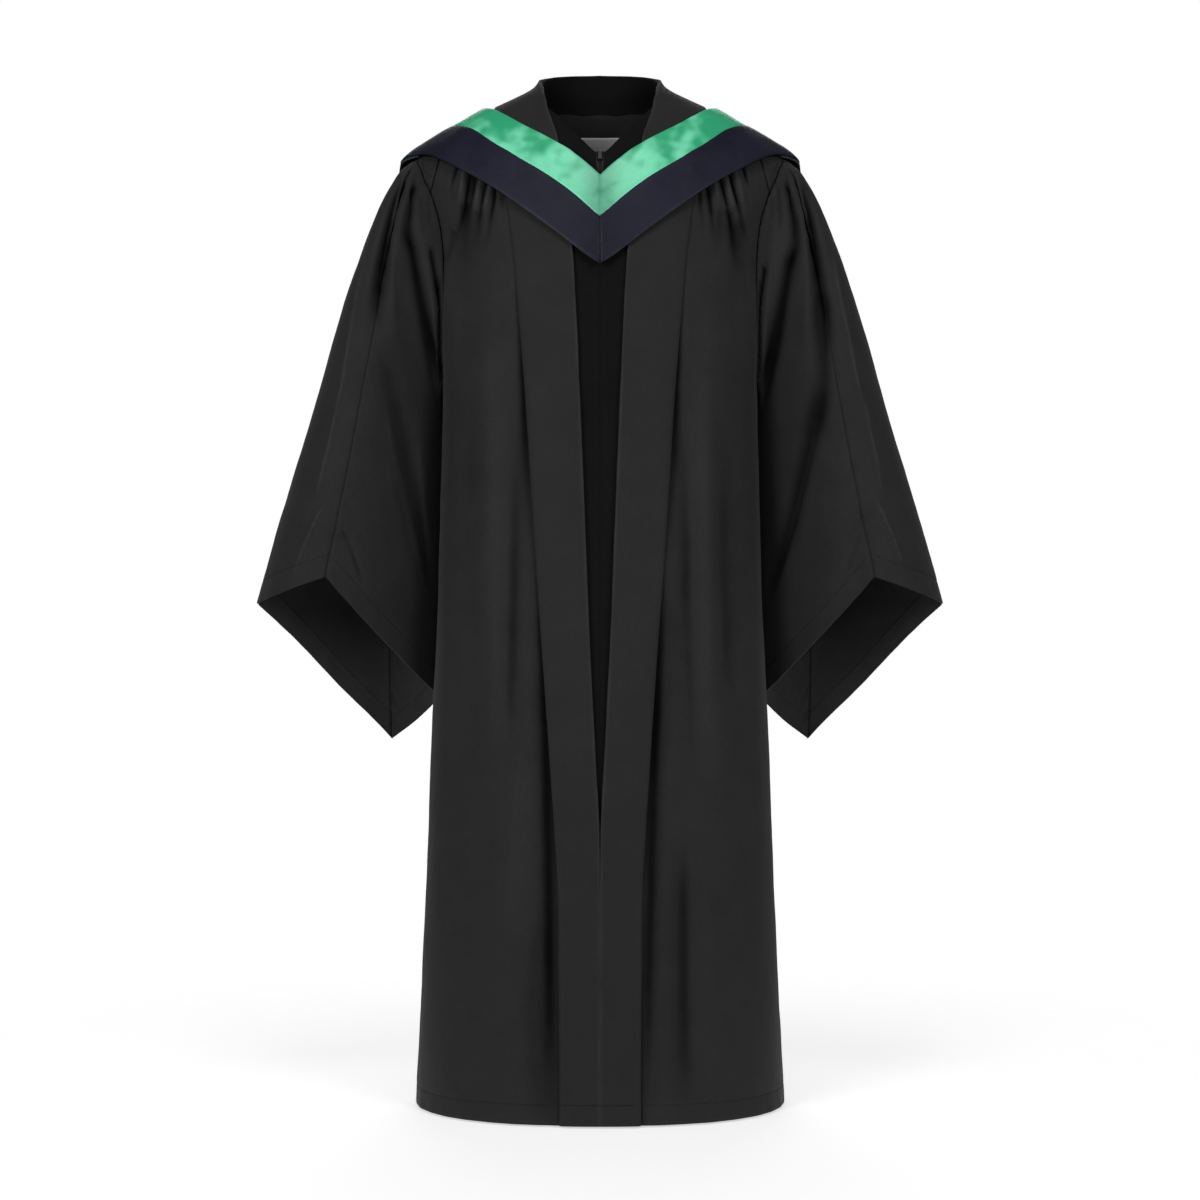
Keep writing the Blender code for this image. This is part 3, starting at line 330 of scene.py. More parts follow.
# Height and lift of each edge on the ridge
HOOD_RIDGE = {"inner": (0.0165, 0.0027), "join": (-0.0015, 0.0062), "outer": (-0.0446, 0.0112)}
HOOD_BACK_ROWS = (
    (0.1250, -0.0200, 0.1650, -0.0500, 0.2150, -0.0900, 0.0090),
    (0.1000, -0.0800, 0.1350, -0.1300, 0.2050, -0.1700, 0.0110),
    (0.0600, -0.1300, 0.0850, -0.1900, 0.1550, -0.2700, 0.0130),
    (0.0250, -0.1500, 0.0350, -0.2110, 0.0700, -0.3400, 0.0140),
    (0.0000, -0.1550, 0.0000, -0.2150, 0.0000, -0.3600, 0.0140),
)

HOOD_AT_RIDGE = len(HOOD_FRONT_ROWS)
COWL_FOLDS = 2.5
COWL_RISE = 0.006
COWL_GROWTH = 3

# Folds of the cloth, seen from the front or the back. Each runs from its top to its low end,
# "bow" to the outside at its middle, and stands "rise" out of the cloth, or sinks into it.
FOLD_COLUMNS = ("top_x", "top", "low_x", "low", "bow", "top_width", "low_width", "rise")
FRONT_FOLDS = {
    -1: (
        (0.166, -0.140, 0.171, -0.360, 0.000, 0.012, 0.016, 0.0030),
        (0.085, -0.220, 0.105, -0.800, 0.000, 0.011, 0.013, -0.0034),
        (0.121, -0.220, 0.117, -0.820, 0.000, 0.014, 0.015, 0.0045),
        (0.150, -0.280, 0.142, -0.780, 0.000, 0.014, 0.016, -0.0028),
        (0.086, -0.700, 0.108, -0.990, 0.000, 0.022, 0.026, 0.0050),
        (0.065, -0.860, 0.064, -1.160, 0.000, 0.018, 0.020, -0.0060),
    ),
    1: (
        (0.166, -0.140, 0.171, -0.360, 0.000, 0.012, 0.016, 0.0030),
        (0.085, -0.220, 0.104, -0.800, 0.000, 0.011, 0.013, -0.0034),
        (0.115, -0.220, 0.124, -0.820, 0.000, 0.012, 0.014, 0.0048),
        (0.142, -0.280, 0.149, -0.740, 0.000, 0.014, 0.016, -0.0028),
        (0.080, -0.520, 0.063, -0.760, 0.000, 0.014, 0.018, -0.0045),
        (0.097, -0.780, 0.097, -1.160, 0.000, 0.018, 0.020, -0.0060),
        (0.114, -0.780, 0.116, -1.160, 0.000, 0.018, 0.020, 0.0040),
    ),
}
FLUTES_PER_SIDE = 3.5
FLUTE_RISE = 0.0065
FLUTE_LOW = -0.750
FLUTE_AT_SEAM = 0.35
FLUTE_GROWTH = 0.06
BACK_FOLDS = (
    (0.120, -0.300, 0.150, -1.160, 0.010, 0.024, 0.030, 0.0070),
    (0.060, -0.450, 0.090, -1.160, 0.000, 0.024, 0.030, -0.0070),
    (-0.020, -0.500, -0.010, -1.160, 0.000, 0.024, 0.030, 0.0060),
    (-0.075, -0.400, -0.100, -1.160, 0.000, 0.024, 0.030, -0.0070),
    (-0.130, -0.350, -0.150, -1.160, -0.008, 0.024, 0.030, 0.0060),
)
SLEEVE_FRONT_FOLDS = {
    -1: (
        (0.2140, -0.060, 0.2290, -0.280, 0.0100, 0.008, 0.010, 0.0050),
        (0.2390, -0.300, 0.2080, -0.600, 0.0040, 0.009, 0.009, 0.0040),
        (0.2450, -0.260, 0.1860, -0.575, -0.0010, 0.013, 0.0080, -0.0050),
        (0.2060, -0.300, 0.1860, -0.600, 0.0000, 0.010, 0.0060, 0.0110),
        (0.2950, -0.440, 0.2740, -0.560, 0.0000, 0.014, 0.018, -0.0040),
        (0.2624, -0.110, 0.3440, -0.600, -0.0060, 0.018, 0.020, 0.0030),
    ),
    1: (
        (0.2150, -0.060, 0.2270, -0.290, 0.0100, 0.008, 0.010, 0.0050),
        (0.2380, -0.310, 0.2080, -0.600, 0.0040, 0.009, 0.009, 0.0040),
        (0.3000, -0.420, 0.2780, -0.560, 0.0000, 0.014, 0.018, -0.0040),
        (0.2650, -0.110, 0.3460, -0.600, -0.0060, 0.018, 0.020, 0.0030),
    ),
}
SLEEVE_BACK_FOLDS = (
    (0.2200, -0.080, 0.2200, -0.650, 0.014, 0.012, 0.016, -0.0120),
    (0.2080, -0.080, 0.2000, -0.600, 0.006, 0.010, 0.012, 0.0060),
    (0.2600, -0.100, 0.3100, -0.620, 0.010, 0.020, 0.026, -0.0080),
    (0.2400, -0.100, 0.2700, -0.650, 0.014, 0.016, 0.020, 0.0060),
)
# Share of a fold's length over which it rises at its top, and over which it fades out
FOLD_TOP = 0.30
FINE_FOLD_TOP = 0.14
FOLD_FADE = 0.40
GATHER_TOP = 0.10
GATHER_FADE = 0.85
# Shares of a sleeve over which its folds rise from its edges and from the armhole
SLEEVE_FOLD_FADE = 0.12
ARM_FOLD_FADE = 0.04
ARM_FINE_FADE = 0.012
FRONT_OUTWARD = np.array((0.2425, -0.9701, 0.0))
BACK_OUTWARD = np.array((0.2425, 0.9701, 0.0))
SLEEVE_ROWS_CROWD_UP = 1.1
# Waves of the cuff's edge behind: how many, how high, and from which share of the sleeve down
CUFF_WAVES = 2.5
CUFF_WAVE = 0.0014
CUFF_WAVE_FROM = 0.85
# Light that the inside of the cuff behind takes from below: how strong, and from which share down
CUFF_INSIDE_LIGHT = 0.35
CUFF_LIGHT_FROM = 0.60

# Finer folds and sharp creases, seen from the front or the back, as rows of FOLD_COLUMNS
FINE_FRONT_FOLDS = {
    -1: (
        (0.1680, -0.120, 0.1740, -0.170, 0.0000, 0.0050, 0.0070, -0.0024),
        (0.1680, -0.140, 0.1750, -0.330, 0.0020, 0.0030, 0.0040, 0.0014),
        (0.1200, -0.180, 0.1280, -0.420, 0.0060, 0.0160, 0.0200, 0.0018),
        (0.1500, -0.400, 0.1420, -0.720, -0.0040, 0.0180, 0.0200, 0.0016),
        (0.1260, -0.560, 0.1180, -0.900, 0.0040, 0.0140, 0.0180, -0.0014),
        (0.1720, -0.500, 0.1800, -1.000, 0.0030, 0.0120, 0.0140, 0.0014),
        (0.0870, -0.690, 0.1100, -0.980, 0.0000, 0.0040, 0.0050, 0.0012),
    ),
    1: (
        (0.1680, -0.150, 0.1740, -0.340, 0.0020, 0.0030, 0.0040, 0.0014),
        (0.1220, -0.200, 0.1320, -0.440, 0.0050, 0.0160, 0.0200, 0.0018),
        (0.1480, -0.420, 0.1400, -0.700, -0.0040, 0.0180, 0.0200, -0.0016),
        (0.1240, -0.540, 0.1300, -0.860, 0.0040, 0.0140, 0.0180, 0.0014),
        (0.1700, -0.520, 0.1780, -1.020, 0.0030, 0.0120, 0.0140, 0.0014),
        (0.1020, -0.800, 0.1040, -1.080, 0.0000, 0.0040, 0.0050, 0.0010),
    ),
}
# Gathers that fall from under the hood, deepest at their tops, as rows of FOLD_COLUMNS
GATHERS = {
    -1: (
        (0.1600, -0.042, 0.1730, -0.090, 0.0000, 0.0028, 0.0026, -0.0026),
        (0.1465, -0.048, 0.1710, -0.158, -0.0030, 0.0040, 0.0030, -0.0036),
        (0.1385, -0.054, 0.1570, -0.146, 0.0000, 0.0040, 0.0028, -0.0030),
        (0.1270, -0.060, 0.1410, -0.150, 0.0010, 0.0040, 0.0032, -0.0030),
        (0.1175, -0.066, 0.1350, -0.172, -0.0020, 0.0042, 0.0038, -0.0032),
        (0.1080, -0.074, 0.1110, -0.116, 0.0000, 0.0042, 0.0036, -0.0026),
        (0.1530, -0.050, 0.1660, -0.120, 0.0000, 0.0034, 0.0034, 0.0020),
        (0.1330, -0.060, 0.1480, -0.126, 0.0000, 0.0034, 0.0034, 0.0018),
        (0.1225, -0.066, 0.1370, -0.132, 0.0000, 0.0034, 0.0034, 0.0016),
        (0.1540, -0.090, 0.1560, -0.220, 0.0000, 0.0090, 0.0120, -0.0026),
        (0.1370, -0.100, 0.1420, -0.190, 0.0000, 0.0080, 0.0100, -0.0018),
    ),
    1: (
        (0.1600, -0.042, 0.1730, -0.088, 0.0000, 0.0030, 0.0026, -0.0028),
        (0.1445, -0.050, 0.1765, -0.162, -0.0010, 0.0040, 0.0028, -0.0036),
        (0.1345, -0.056, 0.1550, -0.146, 0.0000, 0.0042, 0.0028, -0.0032),
        (0.1210, -0.064, 0.1340, -0.166, -0.0010, 0.0044, 0.0034, -0.0034),
        (0.1110, -0.072, 0.1190, -0.146, 0.0000, 0.0040, 0.0034, -0.0026),
        (0.1530, -0.050, 0.1680, -0.124, 0.0000, 0.0034, 0.0034, 0.0020),
        (0.1400, -0.056, 0.1580, -0.130, 0.0000, 0.0034, 0.0034, 0.0020),
        (0.1280, -0.062, 0.1420, -0.128, 0.0000, 0.0034, 0.0034, 0.0018),
        (0.1480, -0.100, 0.1545, -0.186, 0.0000, 0.0056, 0.0064, -0.0030),
        (0.1365, -0.100, 0.1370, -0.172, 0.0000, 0.0060, 0.0070, -0.0022),
        (0.1580, -0.110, 0.1600, -0.230, 0.0000, 0.0090, 0.0120, -0.0022),
    ),
}
# Where each front panel sinks beside its band, which the band doesn't follow
BESIDE_BAND = (
    (0.0960, -0.150, 0.0680, -0.640, 0.0000, 0.0050, 0.0070, -0.0024),
    (0.0720, -0.480, 0.0520, -1.200, -0.0040, 0.0100, 0.0120, -0.0060),
)
FINE_BACK_FOLDS = (
    (0.090, -0.200, 0.110, -0.900, 0.006, 0.010, 0.014, 0.0012),
    (0.030, -0.220, 0.045, -0.980, -0.004, 0.012, 0.016, -0.0012),
    (-0.045, -0.200, -0.060, -1.000, 0.004, 0.012, 0.014, 0.0012),
    (-0.100, -0.220, -0.125, -0.960, -0.004, 0.010, 0.014, -0.0010),
    (0.150, -0.220, 0.172, -1.100, 0.004, 0.012, 0.014, 0.0012),
    (-0.150, -0.240, -0.176, -1.120, 0.003, 0.012, 0.014, 0.0012),
)
FINE_SLEEVE_FOLDS = {
    -1: (
        (0.2255, -0.056, 0.2520, -0.262, 0.0075, 0.0060, 0.0115, -0.0130),
        (0.2255, -0.062, 0.2285, -0.262, 0.0070, 0.0024, 0.0028, 0.0028),
        (0.2085, -0.064, 0.2178, -0.155, 0.0030, 0.0050, 0.0062, -0.0100),
        (0.2190, -0.115, 0.1835, -0.335, -0.0010, 0.0060, 0.0078, -0.0125),
        (0.1930, -0.140, 0.1795, -0.215, 0.0000, 0.0040, 0.0050, -0.0075),
        (0.2040, -0.080, 0.1960, -0.150, 0.0010, 0.0030, 0.0040, -0.0030),
        (0.1800, -0.170, 0.1830, -0.400, 0.0000, 0.0060, 0.0050, -0.0080),
        (0.2460, -0.250, 0.1890, -0.590, 0.0000, 0.0130, 0.0070, -0.0052),
        (0.2440, -0.320, 0.1910, -0.590, 0.0020, 0.0020, 0.0022, 0.0032),
        (0.2600, -0.125, 0.2760, -0.215, 0.0000, 0.0020, 0.0020, 0.0020),
        (0.2700, -0.170, 0.3040, -0.380, -0.0010, 0.0020, 0.0020, 0.0024),
        (0.2955, -0.330, 0.3220, -0.450, 0.0000, 0.0020, 0.0020, 0.0024),
        (0.3080, -0.435, 0.3490, -0.535, 0.0030, 0.0020, 0.0020, 0.0024),
        (0.2110, -0.054, 0.2140, -0.100, 0.0000, 0.0024, 0.0030, -0.0026),
        (0.2180, -0.050, 0.2230, -0.100, 0.0010, 0.0024, 0.0030, -0.0024),
        (0.1960, -0.070, 0.1930, -0.130, 0.0000, 0.0024, 0.0030, -0.0026),
        (0.2940, -0.462, 0.2680, -0.532, -0.0020, 0.0030, 0.0032, -0.0034),
        (0.2970, -0.452, 0.2760, -0.520, -0.0020, 0.0030, 0.0030, 0.0012),
        (0.2900, -0.430, 0.2600, -0.500, 0.0000, 0.0080, 0.0100, -0.0020),
    ),
    1: (
        (0.2290, -0.056, 0.2495, -0.285, 0.0055, 0.0060, 0.0115, -0.0125),
        (0.2500, -0.190, 0.2440, -0.385, 0.0030, 0.0110, 0.0095, -0.0085),
        (0.2460, -0.300, 0.1870, -0.590, 0.0040, 0.0110, 0.0060, -0.0110),
        (0.2400, -0.350, 0.2020, -0.520, 0.0020, 0.0020, 0.0022, 0.0024),
        (0.2240, -0.068, 0.2285, -0.265, 0.0075, 0.0024, 0.0028, 0.0028),
        (0.2070, -0.060, 0.2160, -0.180, 0.0085, 0.0044, 0.0062, -0.0100),
        (0.2190, -0.135, 0.1845, -0.350, 0.0000, 0.0062, 0.0085, -0.0130),
        (0.2010, -0.064, 0.2000, -0.140, 0.0030, 0.0030, 0.0040, -0.0036),
        (0.1870, -0.160, 0.1775, -0.225, 0.0000, 0.0040, 0.0052, -0.0075),
        (0.1775, -0.190, 0.1810, -0.430, 0.0000, 0.0060, 0.0056, -0.0080),
        (0.2600, -0.125, 0.2700, -0.200, 0.0000, 0.0020, 0.0020, 0.0020),
        (0.2650, -0.170, 0.3000, -0.355, 0.0000, 0.0020, 0.0020, 0.0024),
        (0.2950, -0.310, 0.3200, -0.440, 0.0000, 0.0020, 0.0020, 0.0024),
        (0.3090, -0.432, 0.3460, -0.530, 0.0030, 0.0020, 0.0020, 0.0022),
        (0.2120, -0.054, 0.2160, -0.110, 0.0000, 0.0024, 0.0030, -0.0026),
        (0.2200, -0.050, 0.2240, -0.100, 0.0010, 0.0024, 0.0030, -0.0024),
        (0.1970, -0.070, 0.1940, -0.120, 0.0000, 0.0024, 0.0030, -0.0026),
        (0.2960, -0.468, 0.2800, -0.520, -0.0030, 0.0034, 0.0034, -0.0024),
        (0.2920, -0.466, 0.2800, -0.510, 0.0000, 0.0030, 0.0030, 0.0012),
    ),
}
FINE_SLEEVE_BACK_FOLDS = (
    (0.2680, -0.140, 0.3450, -0.600, -0.004, 0.0050, 0.0060, 0.0020),
    (0.2300, -0.120, 0.2460, -0.600, 0.006, 0.0060, 0.0080, 0.0016),
    (0.2850, -0.260, 0.3250, -0.560, 0.002, 0.0080, 0.0100, -0.0014),
)

# Grooves and rolls along the edges of a piece. Each row is an edge, the distance from it, the
# width of the groove and how far the cloth moves out.
BODY_HEM = 0.022
BAND_HEM = 0.023
CUFF_HEM = 0.026
PANEL_ROLLS = (
    ("first_column", 0.0150, 0.0030, -0.0012),
    ("first_row", 0.0, 0.0014, -0.0005),
    ("first_row", BODY_HEM, 0.0012, -0.0005),
    ("last_column", 0.0, 0.0016, -0.0009),
)
BAND_ROLLS = (
    ("first_column", 0.0, 0.0014, -0.0012),
    ("first_row", 0.0, 0.0012, -0.0005),
    ("first_row", BAND_HEM, 0.0012, -0.0004),
)
SLEEVE_ROLLS = (
    ("first_row", 0.0, 0.0016, -0.0010),
    ("last_row", 0.0, 0.0012, -0.0004),
    ("last_row", CUFF_HEM, 0.0012, -0.0004),
    ("first_column", 0.0, 0.0010, -0.0005),
    ("last_column", 0.0, 0.0010, -0.0005),
)
YOKE_ROLLS = (
    ("first_row", 0.0, 0.0012, -0.0006),
    ("last_row", 0.0, 0.0014, -0.0008),
    ("last_column", 0.0, 0.0014, -0.0008),
)
INNER_ROLLS = (
    ("first_column", 0.0, 0.0012, -0.0006),
    ("last_row", 0.0, 0.0014, -0.0006),
)
BACK_ROLLS = (
    ("first_row", 0.0, 0.0014, -0.0005),
    ("first_row", BODY_HEM, 0.0012, -0.0005),
    ("first_column", 0.0, 0.0016, -0.0009),
    ("last_column", 0.0, 0.0016, -0.0009),
)
BACK_YOKE_ROLLS = (
    ("last_row", 0.0, 0.0014, -0.0008),
    ("first_column", 0.0, 0.0014, -0.0008),
    ("last_column", 0.0, 0.0014, -0.0008),
)
HOOD_ROLLS = (
    ("first_column", 0.0, 0.0012, -0.0007),
    ("last_column", 0.0, 0.0012, -0.0006),
    ("first_row", 0.0, 0.0014, -0.0006),
)
COWL_ROLLS = (
    ("first_row", 0.0, 0.0012, -0.0007),
    ("last_row", 0.0, 0.0012, -0.0008),
)
# Waves that a line of sewing draws into the cloth beside it. Each row is an edge, the length of
# a wave, how far the waves reach into the cloth and how far they rise.
PANEL_PUCKERS = (
    ("first_column", 0.021, 0.014, 0.0006),
    ("first_row", 0.030, 0.020, 0.0003),
    ("last_row", 0.011, 0.030, 0.0004),
)
SLEEVE_PUCKERS = (
    ("first_row", 0.013, 0.022, 0.0005),
    ("last_row", 0.034, 0.022, 0.0003),
    ("first_column", 0.026, 0.010, 0.0004),
    ("last_column", 0.026, 0.010, 0.0004),
)
HOOD_PUCKERS = (("first_row", 0.009, 0.012, 0.0003),)
# How far above the hem, in hem depths, the close rows go, and where those of a cuff begin
HEM_ROWS_REACH = 1.3
CUFF_FROM = 0.93
BAND_HEM_STATION = 0.26
# Uneven swells of the cloth: their size, how much smaller and weaker the second kind is, and seeds
SWELL_SIZE = 0.045
SMALL_SWELL = 3
SMALL_SWELL_SHARE = 0.35
SMALL_SWELL_SEED = 7.3
# How far the puckers drift from an even wave, and over how many waves
PUCKER_DRIFT = 2.0
PUCKER_DRIFT_WAVES = 4
PUCKER_SEED = 3.1

# Shade in folds. Each row is the reach along the cloth, the least depth that counts, how much
# further the shade becomes full, and its strength.
FOLD_SHADES = (
    (0.0120, 0.0000, 0.0045, 0.80),
    (0.0050, 0.0002, 0.0024, 0.65),
)
LEAST_LIGHT = 0.10
# Shade of the deepest cloth in a fold, and the depths at which it is full, in gathers and sleeves
DEPTH_SHADE = 0.60
GATHER_DEPTH = 0.0050
SLEEVE_DEPTH = 0.0120
# The same in the broad folds of the skirt, and the light on their crests
BROAD_DEPTH = 0.0050
BROAD_SHADE = 0.22
BROAD_LIGHT = 0.10
# Shade towards the hem: how strong, and the heights at which it begins and is full
HEM_SHADE = 0.26
HEM_SHADE_HEIGHTS = (-0.50, -1.10)
# The share of their rise with which the sleeves' fine folds stand in the cloth
FINE_SLEEVE_RISE = 0.55
# Shade in the cleft where a sleeve hangs against the body: how dark, its reach at the armhole
# and below it, and how far down it narrows
CLEFT_SHADE = 0.90
CLEFT_REACH = (0.034, 0.004)
CLEFT_DOWN = 0.090
# Shade along the hood's outer edge, and beside the mitre in its trim and its band: strength and reach
HOOD_EDGE_SHADE = (0.70, 0.0012)
TRIM_MITRE_SHADE = (0.45, 0.030)
BAND_MITRE_SHADE = (0.22, 0.030)
# Light on sharp creases, in the same terms
CREASE_REACH = 0.0032
CREASE_LEAST = 0.0004
CREASE_RISE = 0.0008
CREASE_LIGHT = 0.45

# Inner facing of the collar: where its lower edge runs, and how it waves
FACING_LOW = 0.0305
FACING_LIFT = -0.0018
FACING_WAVE = 0.0008
FACING_WAVES = 17
# Lightness that the painted shade inside the neck leaves on the facing
FACING_PAINTED_TONE = 0.30
COLLAR_WALL = 0.0010
# The band's facing: its lift and width below the neck, and the stations between which it joins the collar's
BAND_FACING_LIFT = 0.0016
BAND_FACING = 0.008
NECK_STATIONS = (14.2, 15.4)
# Rows of the solid's back yoke in which the label's rows are counted
YOKE_ROWS_OF_LABEL = 8

# The rolled lining: stations from one end to the other and rings between, size and drop
ROLL_STATIONS = (6.15, 8.6, 40)
ROLL_SIDES = 10
ROLL_RADIUS = 0.0021
ROLL_DROP = 0.0028
ROLL_IN = 0.0016
# Place across the hood that gives the roll its inward direction, and its least size at its ends
ROLL_INWARD = 0.97
ROLL_LEAST = 0.15
# Stitches: length, half width and distance from one to the next
STITCH = (0.0021, 0.00022, 0.0030)
TOOTH_PITCH = 0.0015
TOOTH_SIZE = (0.0022, 0.00055, 0.00050)
# Where a stitch, in lengths, and a tooth, in half lengths, begin to thin out, and their thin ends
STITCH_SHOULDER = 0.32
STITCH_TIP = (0.3, 0.2)
TOOTH_SHOULDER = 0.7
TOOTH_TIP = (0.3, 0.3)
SPINDLE_SIDES = 6

# Lines of twill and threads of tape to the metre, in the units of a wave texture
TWILL_SCALE = 500.0
TAPE_SCALE = 420.0

BLACK_CLOTH = (0.0164, 0.0164, 0.0165)
BAND_BLACK = (0.0138, 0.0138, 0.0139)
INNER_BLACK = (0.0054, 0.0054, 0.0056)
THREAD_BLACK = (0.0080, 0.0080, 0.0084)
ZIP_BLACK = (0.0150, 0.0150, 0.0160)
LABEL_GREY = (0.6400, 0.6200, 0.6300)
# Satins: their own colour, and the painted highlight colour where they catch the light
GREEN_SATIN = ((0.0290, 0.4500, 0.2100), (0.2100, 0.8600, 0.5300))
NAVY_SATIN = ((0.0088, 0.0096, 0.0212), (0.0122, 0.0132, 0.0280))
TEAL_LINING = ((0.0100, 0.0165, 0.0185), (0.0320, 0.0480, 0.0510))
# How much the light a satin catches depends on its clouds and on its height, and where it begins and is full
SATIN_BY_HEIGHT = -5.0
SATIN_SHINE = (0.46, 0.92)

# Lights: name, place, size across, power. They all face the middle of the gown.
LIGHT_TARGET = (0.0, 0.0, -0.38)
LIGHTS = (
    ("key", (-1.9, -3.3, 0.5), 1.6, 58.0),
    ("fill", (2.0, -3.3, 0.4), 1.6, 44.0),
    ("top", (0.0, -1.5, 2.0), 0.8, 9.0),
    ("behind", (0.0, 2.8, 1.2), 2.4, 34.0),
)
AMBIENT = 0.14
BACKGROUND = 1.0
CAMERA_PLACE = (0.0, -3.0, -0.545)
CAMERA_LENS = 77.58
CAMERA_SENSOR = 36.0
# The floor under the gown: height, glow, and how far from its middle it begins and ends to fade
FLOOR_HEIGHT = -1.1265
FLOOR_GLOW = 0.57
FLOOR_FADE = (0.45, 1.10)


def fine(values, times):
    """The same line of values with further ones between its own."""
    values = np.asarray(values, float)
    places = np.linspace(0, len(values) - 1, (len(values) - 1) * times + 1)
    return np.interp(places, np.arange(len(values)), values)


def edged(values):
    """The same line of values with two more close to each end, where an edge rolls over."""
    first, last = values[1] - values[0], values[-1] - values[-2]
    near_first = values[0] + first * EDGE_SHARES
    near_last = values[-1] - last * EDGE_SHARES[::-1]
    return np.concatenate([near_first, values[1:-1], near_last])


def monotone_curve(keys, values):
    """A smooth curve through the points that never overshoots them, as a function of the key."""
    order = np.argsort(keys)
    keys = np.asarray(keys, float)[order]
    values = np.asarray(values, float)[order]
    step = np.diff(keys)
    rise = np.diff(values) / step
    slope = np.concatenate(([rise[0]], np.zeros(len(rise) - 1), [rise[-1]]))
    same_way = rise[1:] * rise[:-1] > 0
    before, after = rise[:-1][same_way], rise[1:][same_way]
    weight_a = (2 * step[1:] + step[:-1])[same_way]
    weight_b = (step[1:] + 2 * step[:-1])[same_way]
    slope[1:-1][same_way] = (weight_a + weight_b) / (weight_a / before + weight_b / after)

    def at(key):
        key = np.clip(key, keys[0], keys[-1])
        k = np.clip(np.searchsorted(keys, key, side="right") - 1, 0, len(step) - 1)
        t = (key - keys[k]) / step[k]
        start = (1 + 2 * t) * (1 - t) ** 2 * values[k] + t * (1 - t) ** 2 * step[k] * slope[k]
        end = t**2 * (3 - 2 * t) * values[k + 1] - t**2 * (1 - t) * step[k] * slope[k + 1]
        return start + end

    return at


def columns_of(names, rows):
    """The columns of a table, by name."""
    return dict(zip(names, np.array(rows).T, strict=True))


def curves(names, rows):
    """One smooth curve for each further column of a table, as a function of the first."""
    table = columns_of(names, rows)
    return {name: monotone_curve(table[names[0]], table[name]) for name in names[1:]}


def blend(start, end, share):
    return start + (end - start) * share


def smooth_step(value):
    value = np.clip(value, 0, 1)
    return value * value * (3 - 2 * value)


BODY = curves(BODY_COLUMNS, BODY_ROWS)
YOKE = curves(YOKE_COLUMNS, YOKE_ROWS)
ZIP_TOP = curves(ZIP_TOP_COLUMNS, ZIP_TOP_ROWS)
ZIP_PANEL = curves(ZIP_PANEL_COLUMNS, ZIP_PANEL_ROWS)
COLLAR = curves(COLLAR_COLUMNS, COLLAR_ROWS)
BAND = columns_of(BAND_COLUMNS, BAND_ROWS)
BAND_OUTER_X = monotone_curve(BAND["outer_height"], BAND["outer_x"])
RIDGE = columns_of(BODY_COLUMNS, [row for row in BODY_ROWS if row[0] > RIDGE_LOW])
RIDGE_HEIGHT = monotone_curve(RIDGE["half"], RIDGE["height"])
SLEEVE_TABLES = (OUTER_ROWS, FRONT_ROWS, INNER_ROWS, BACK_ROWS)
GUIDES = [curves(SLEEVE_COLUMNS, rows) for rows in SLEEVE_TABLES]
GUIDE_ENDS = [(rows[0][0], rows[-1][0]) for rows in SLEEVE_TABLES]
ARM_FINE = fine(ARM_STEPS, ARM_TIMES)


def depth_at(angle, height):
    return np.where(angle < SIDE, BODY["front"](height), BODY["back"](height))


def on_form(angle, height, lift=0.0, width="half"):
    """Points of the body form at these angles and heights, moved out along its surface normal."""
    angle, height, lift = np.broadcast_arrays(angle, height, lift)
    half = BODY[width](height)
    depth = depth_at(angle, height)
    square = BODY["square"](height)
    across = np.sin(angle) ** (2 / square)
    inward = np.abs(np.cos(angle)) ** (2 / square)
    facing = -np.sign(np.cos(angle))
    small = SLOPE_STEP
    half_slope = (BODY[width](height + small) - BODY[width](height - small)) / (2 * small)
    depth_slope = (depth_at(angle, height + small) - depth_at(angle, height - small)) / (2 * small)
    normal = np.stack(
        [
            across ** (square - 1) / half,
            facing * inward ** (square - 1) / depth,
            -(across**square) * half_slope / half - inward**square * depth_slope / depth,
        ],
        axis=-1,
    )
    normal /= np.linalg.norm(normal, axis=-1, keepdims=True)
    base = np.stack([half * across, facing * depth * inward, height], axis=-1)
    return base + normal * lift[..., None]


def front_angle(x, height, width="half"):
    """The angle of the front point of the form at this x."""
    return np.arcsin(np.clip(x / BODY[width](height), 0, 1) ** (BODY["square"](height) / 2))


def angle_at_depth(y, height):
    """The angle of the front point of the form at this distance in front of the ridge."""
    share = np.clip(y / BODY["front"](height), 0, 1)
    return np.arccos(share ** (BODY["square"](height) / 2))


def back_angle_at_depth(y, height):
    share = np.clip(y / BODY["back"](height), 0, 1)
    return np.pi - np.arccos(share ** (BODY["square"](height) / 2))


def arm_height(step, shrink=0.0):
    return ARM_HEIGHT + (ARM_RADIUS - shrink) * np.cos(step)


def arm_depth(step, shrink=0.0):
    return (ARM_DEPTH - shrink) * np.abs(np.sin(step)) ** ARM_ROUND


def folds(table, x, height, rising=FOLD_TOP, fading=FOLD_FADE):
    """How far the folds of a table lift the cloth at each point."""
    total = np.zeros(np.broadcast(x, height).shape)
    for row in table:
        fold = dict(zip(FOLD_COLUMNS, row, strict=True))
        top, low = fold["top"], fold["low"]
        along = np.clip((top - height) / (top - low), 0, 1)
        centre = blend(fold["top_x"], fold["low_x"], along) + 4 * fold["bow"] * along * (1 - along)
        width = blend(fold["top_width"], fold["low_width"], along)
        ends = smooth_step(along / rising) * smooth_step((1 - along) / fading)
        total += fold["rise"] * ends * np.exp(-(((x - centre) / width) ** 2))
    return total


def away_from_sides(angle):
    """1 over the front and the back of the body, falling to 0 at its sides."""
    return smooth_step(SIDE_FADE * np.abs(np.cos(angle)))


def form_x(angle, height):
    """How far the body form reaches to the side at this angle."""
    return BODY["half"](height) * np.sin(angle) ** (2 / BODY["square"](height))


def gathers(side, angle, height):
    x = form_x(angle, height)
    return folds(GATHERS[side], x, height, GATHER_TOP, GATHER_FADE) * away_from_sides(angle)


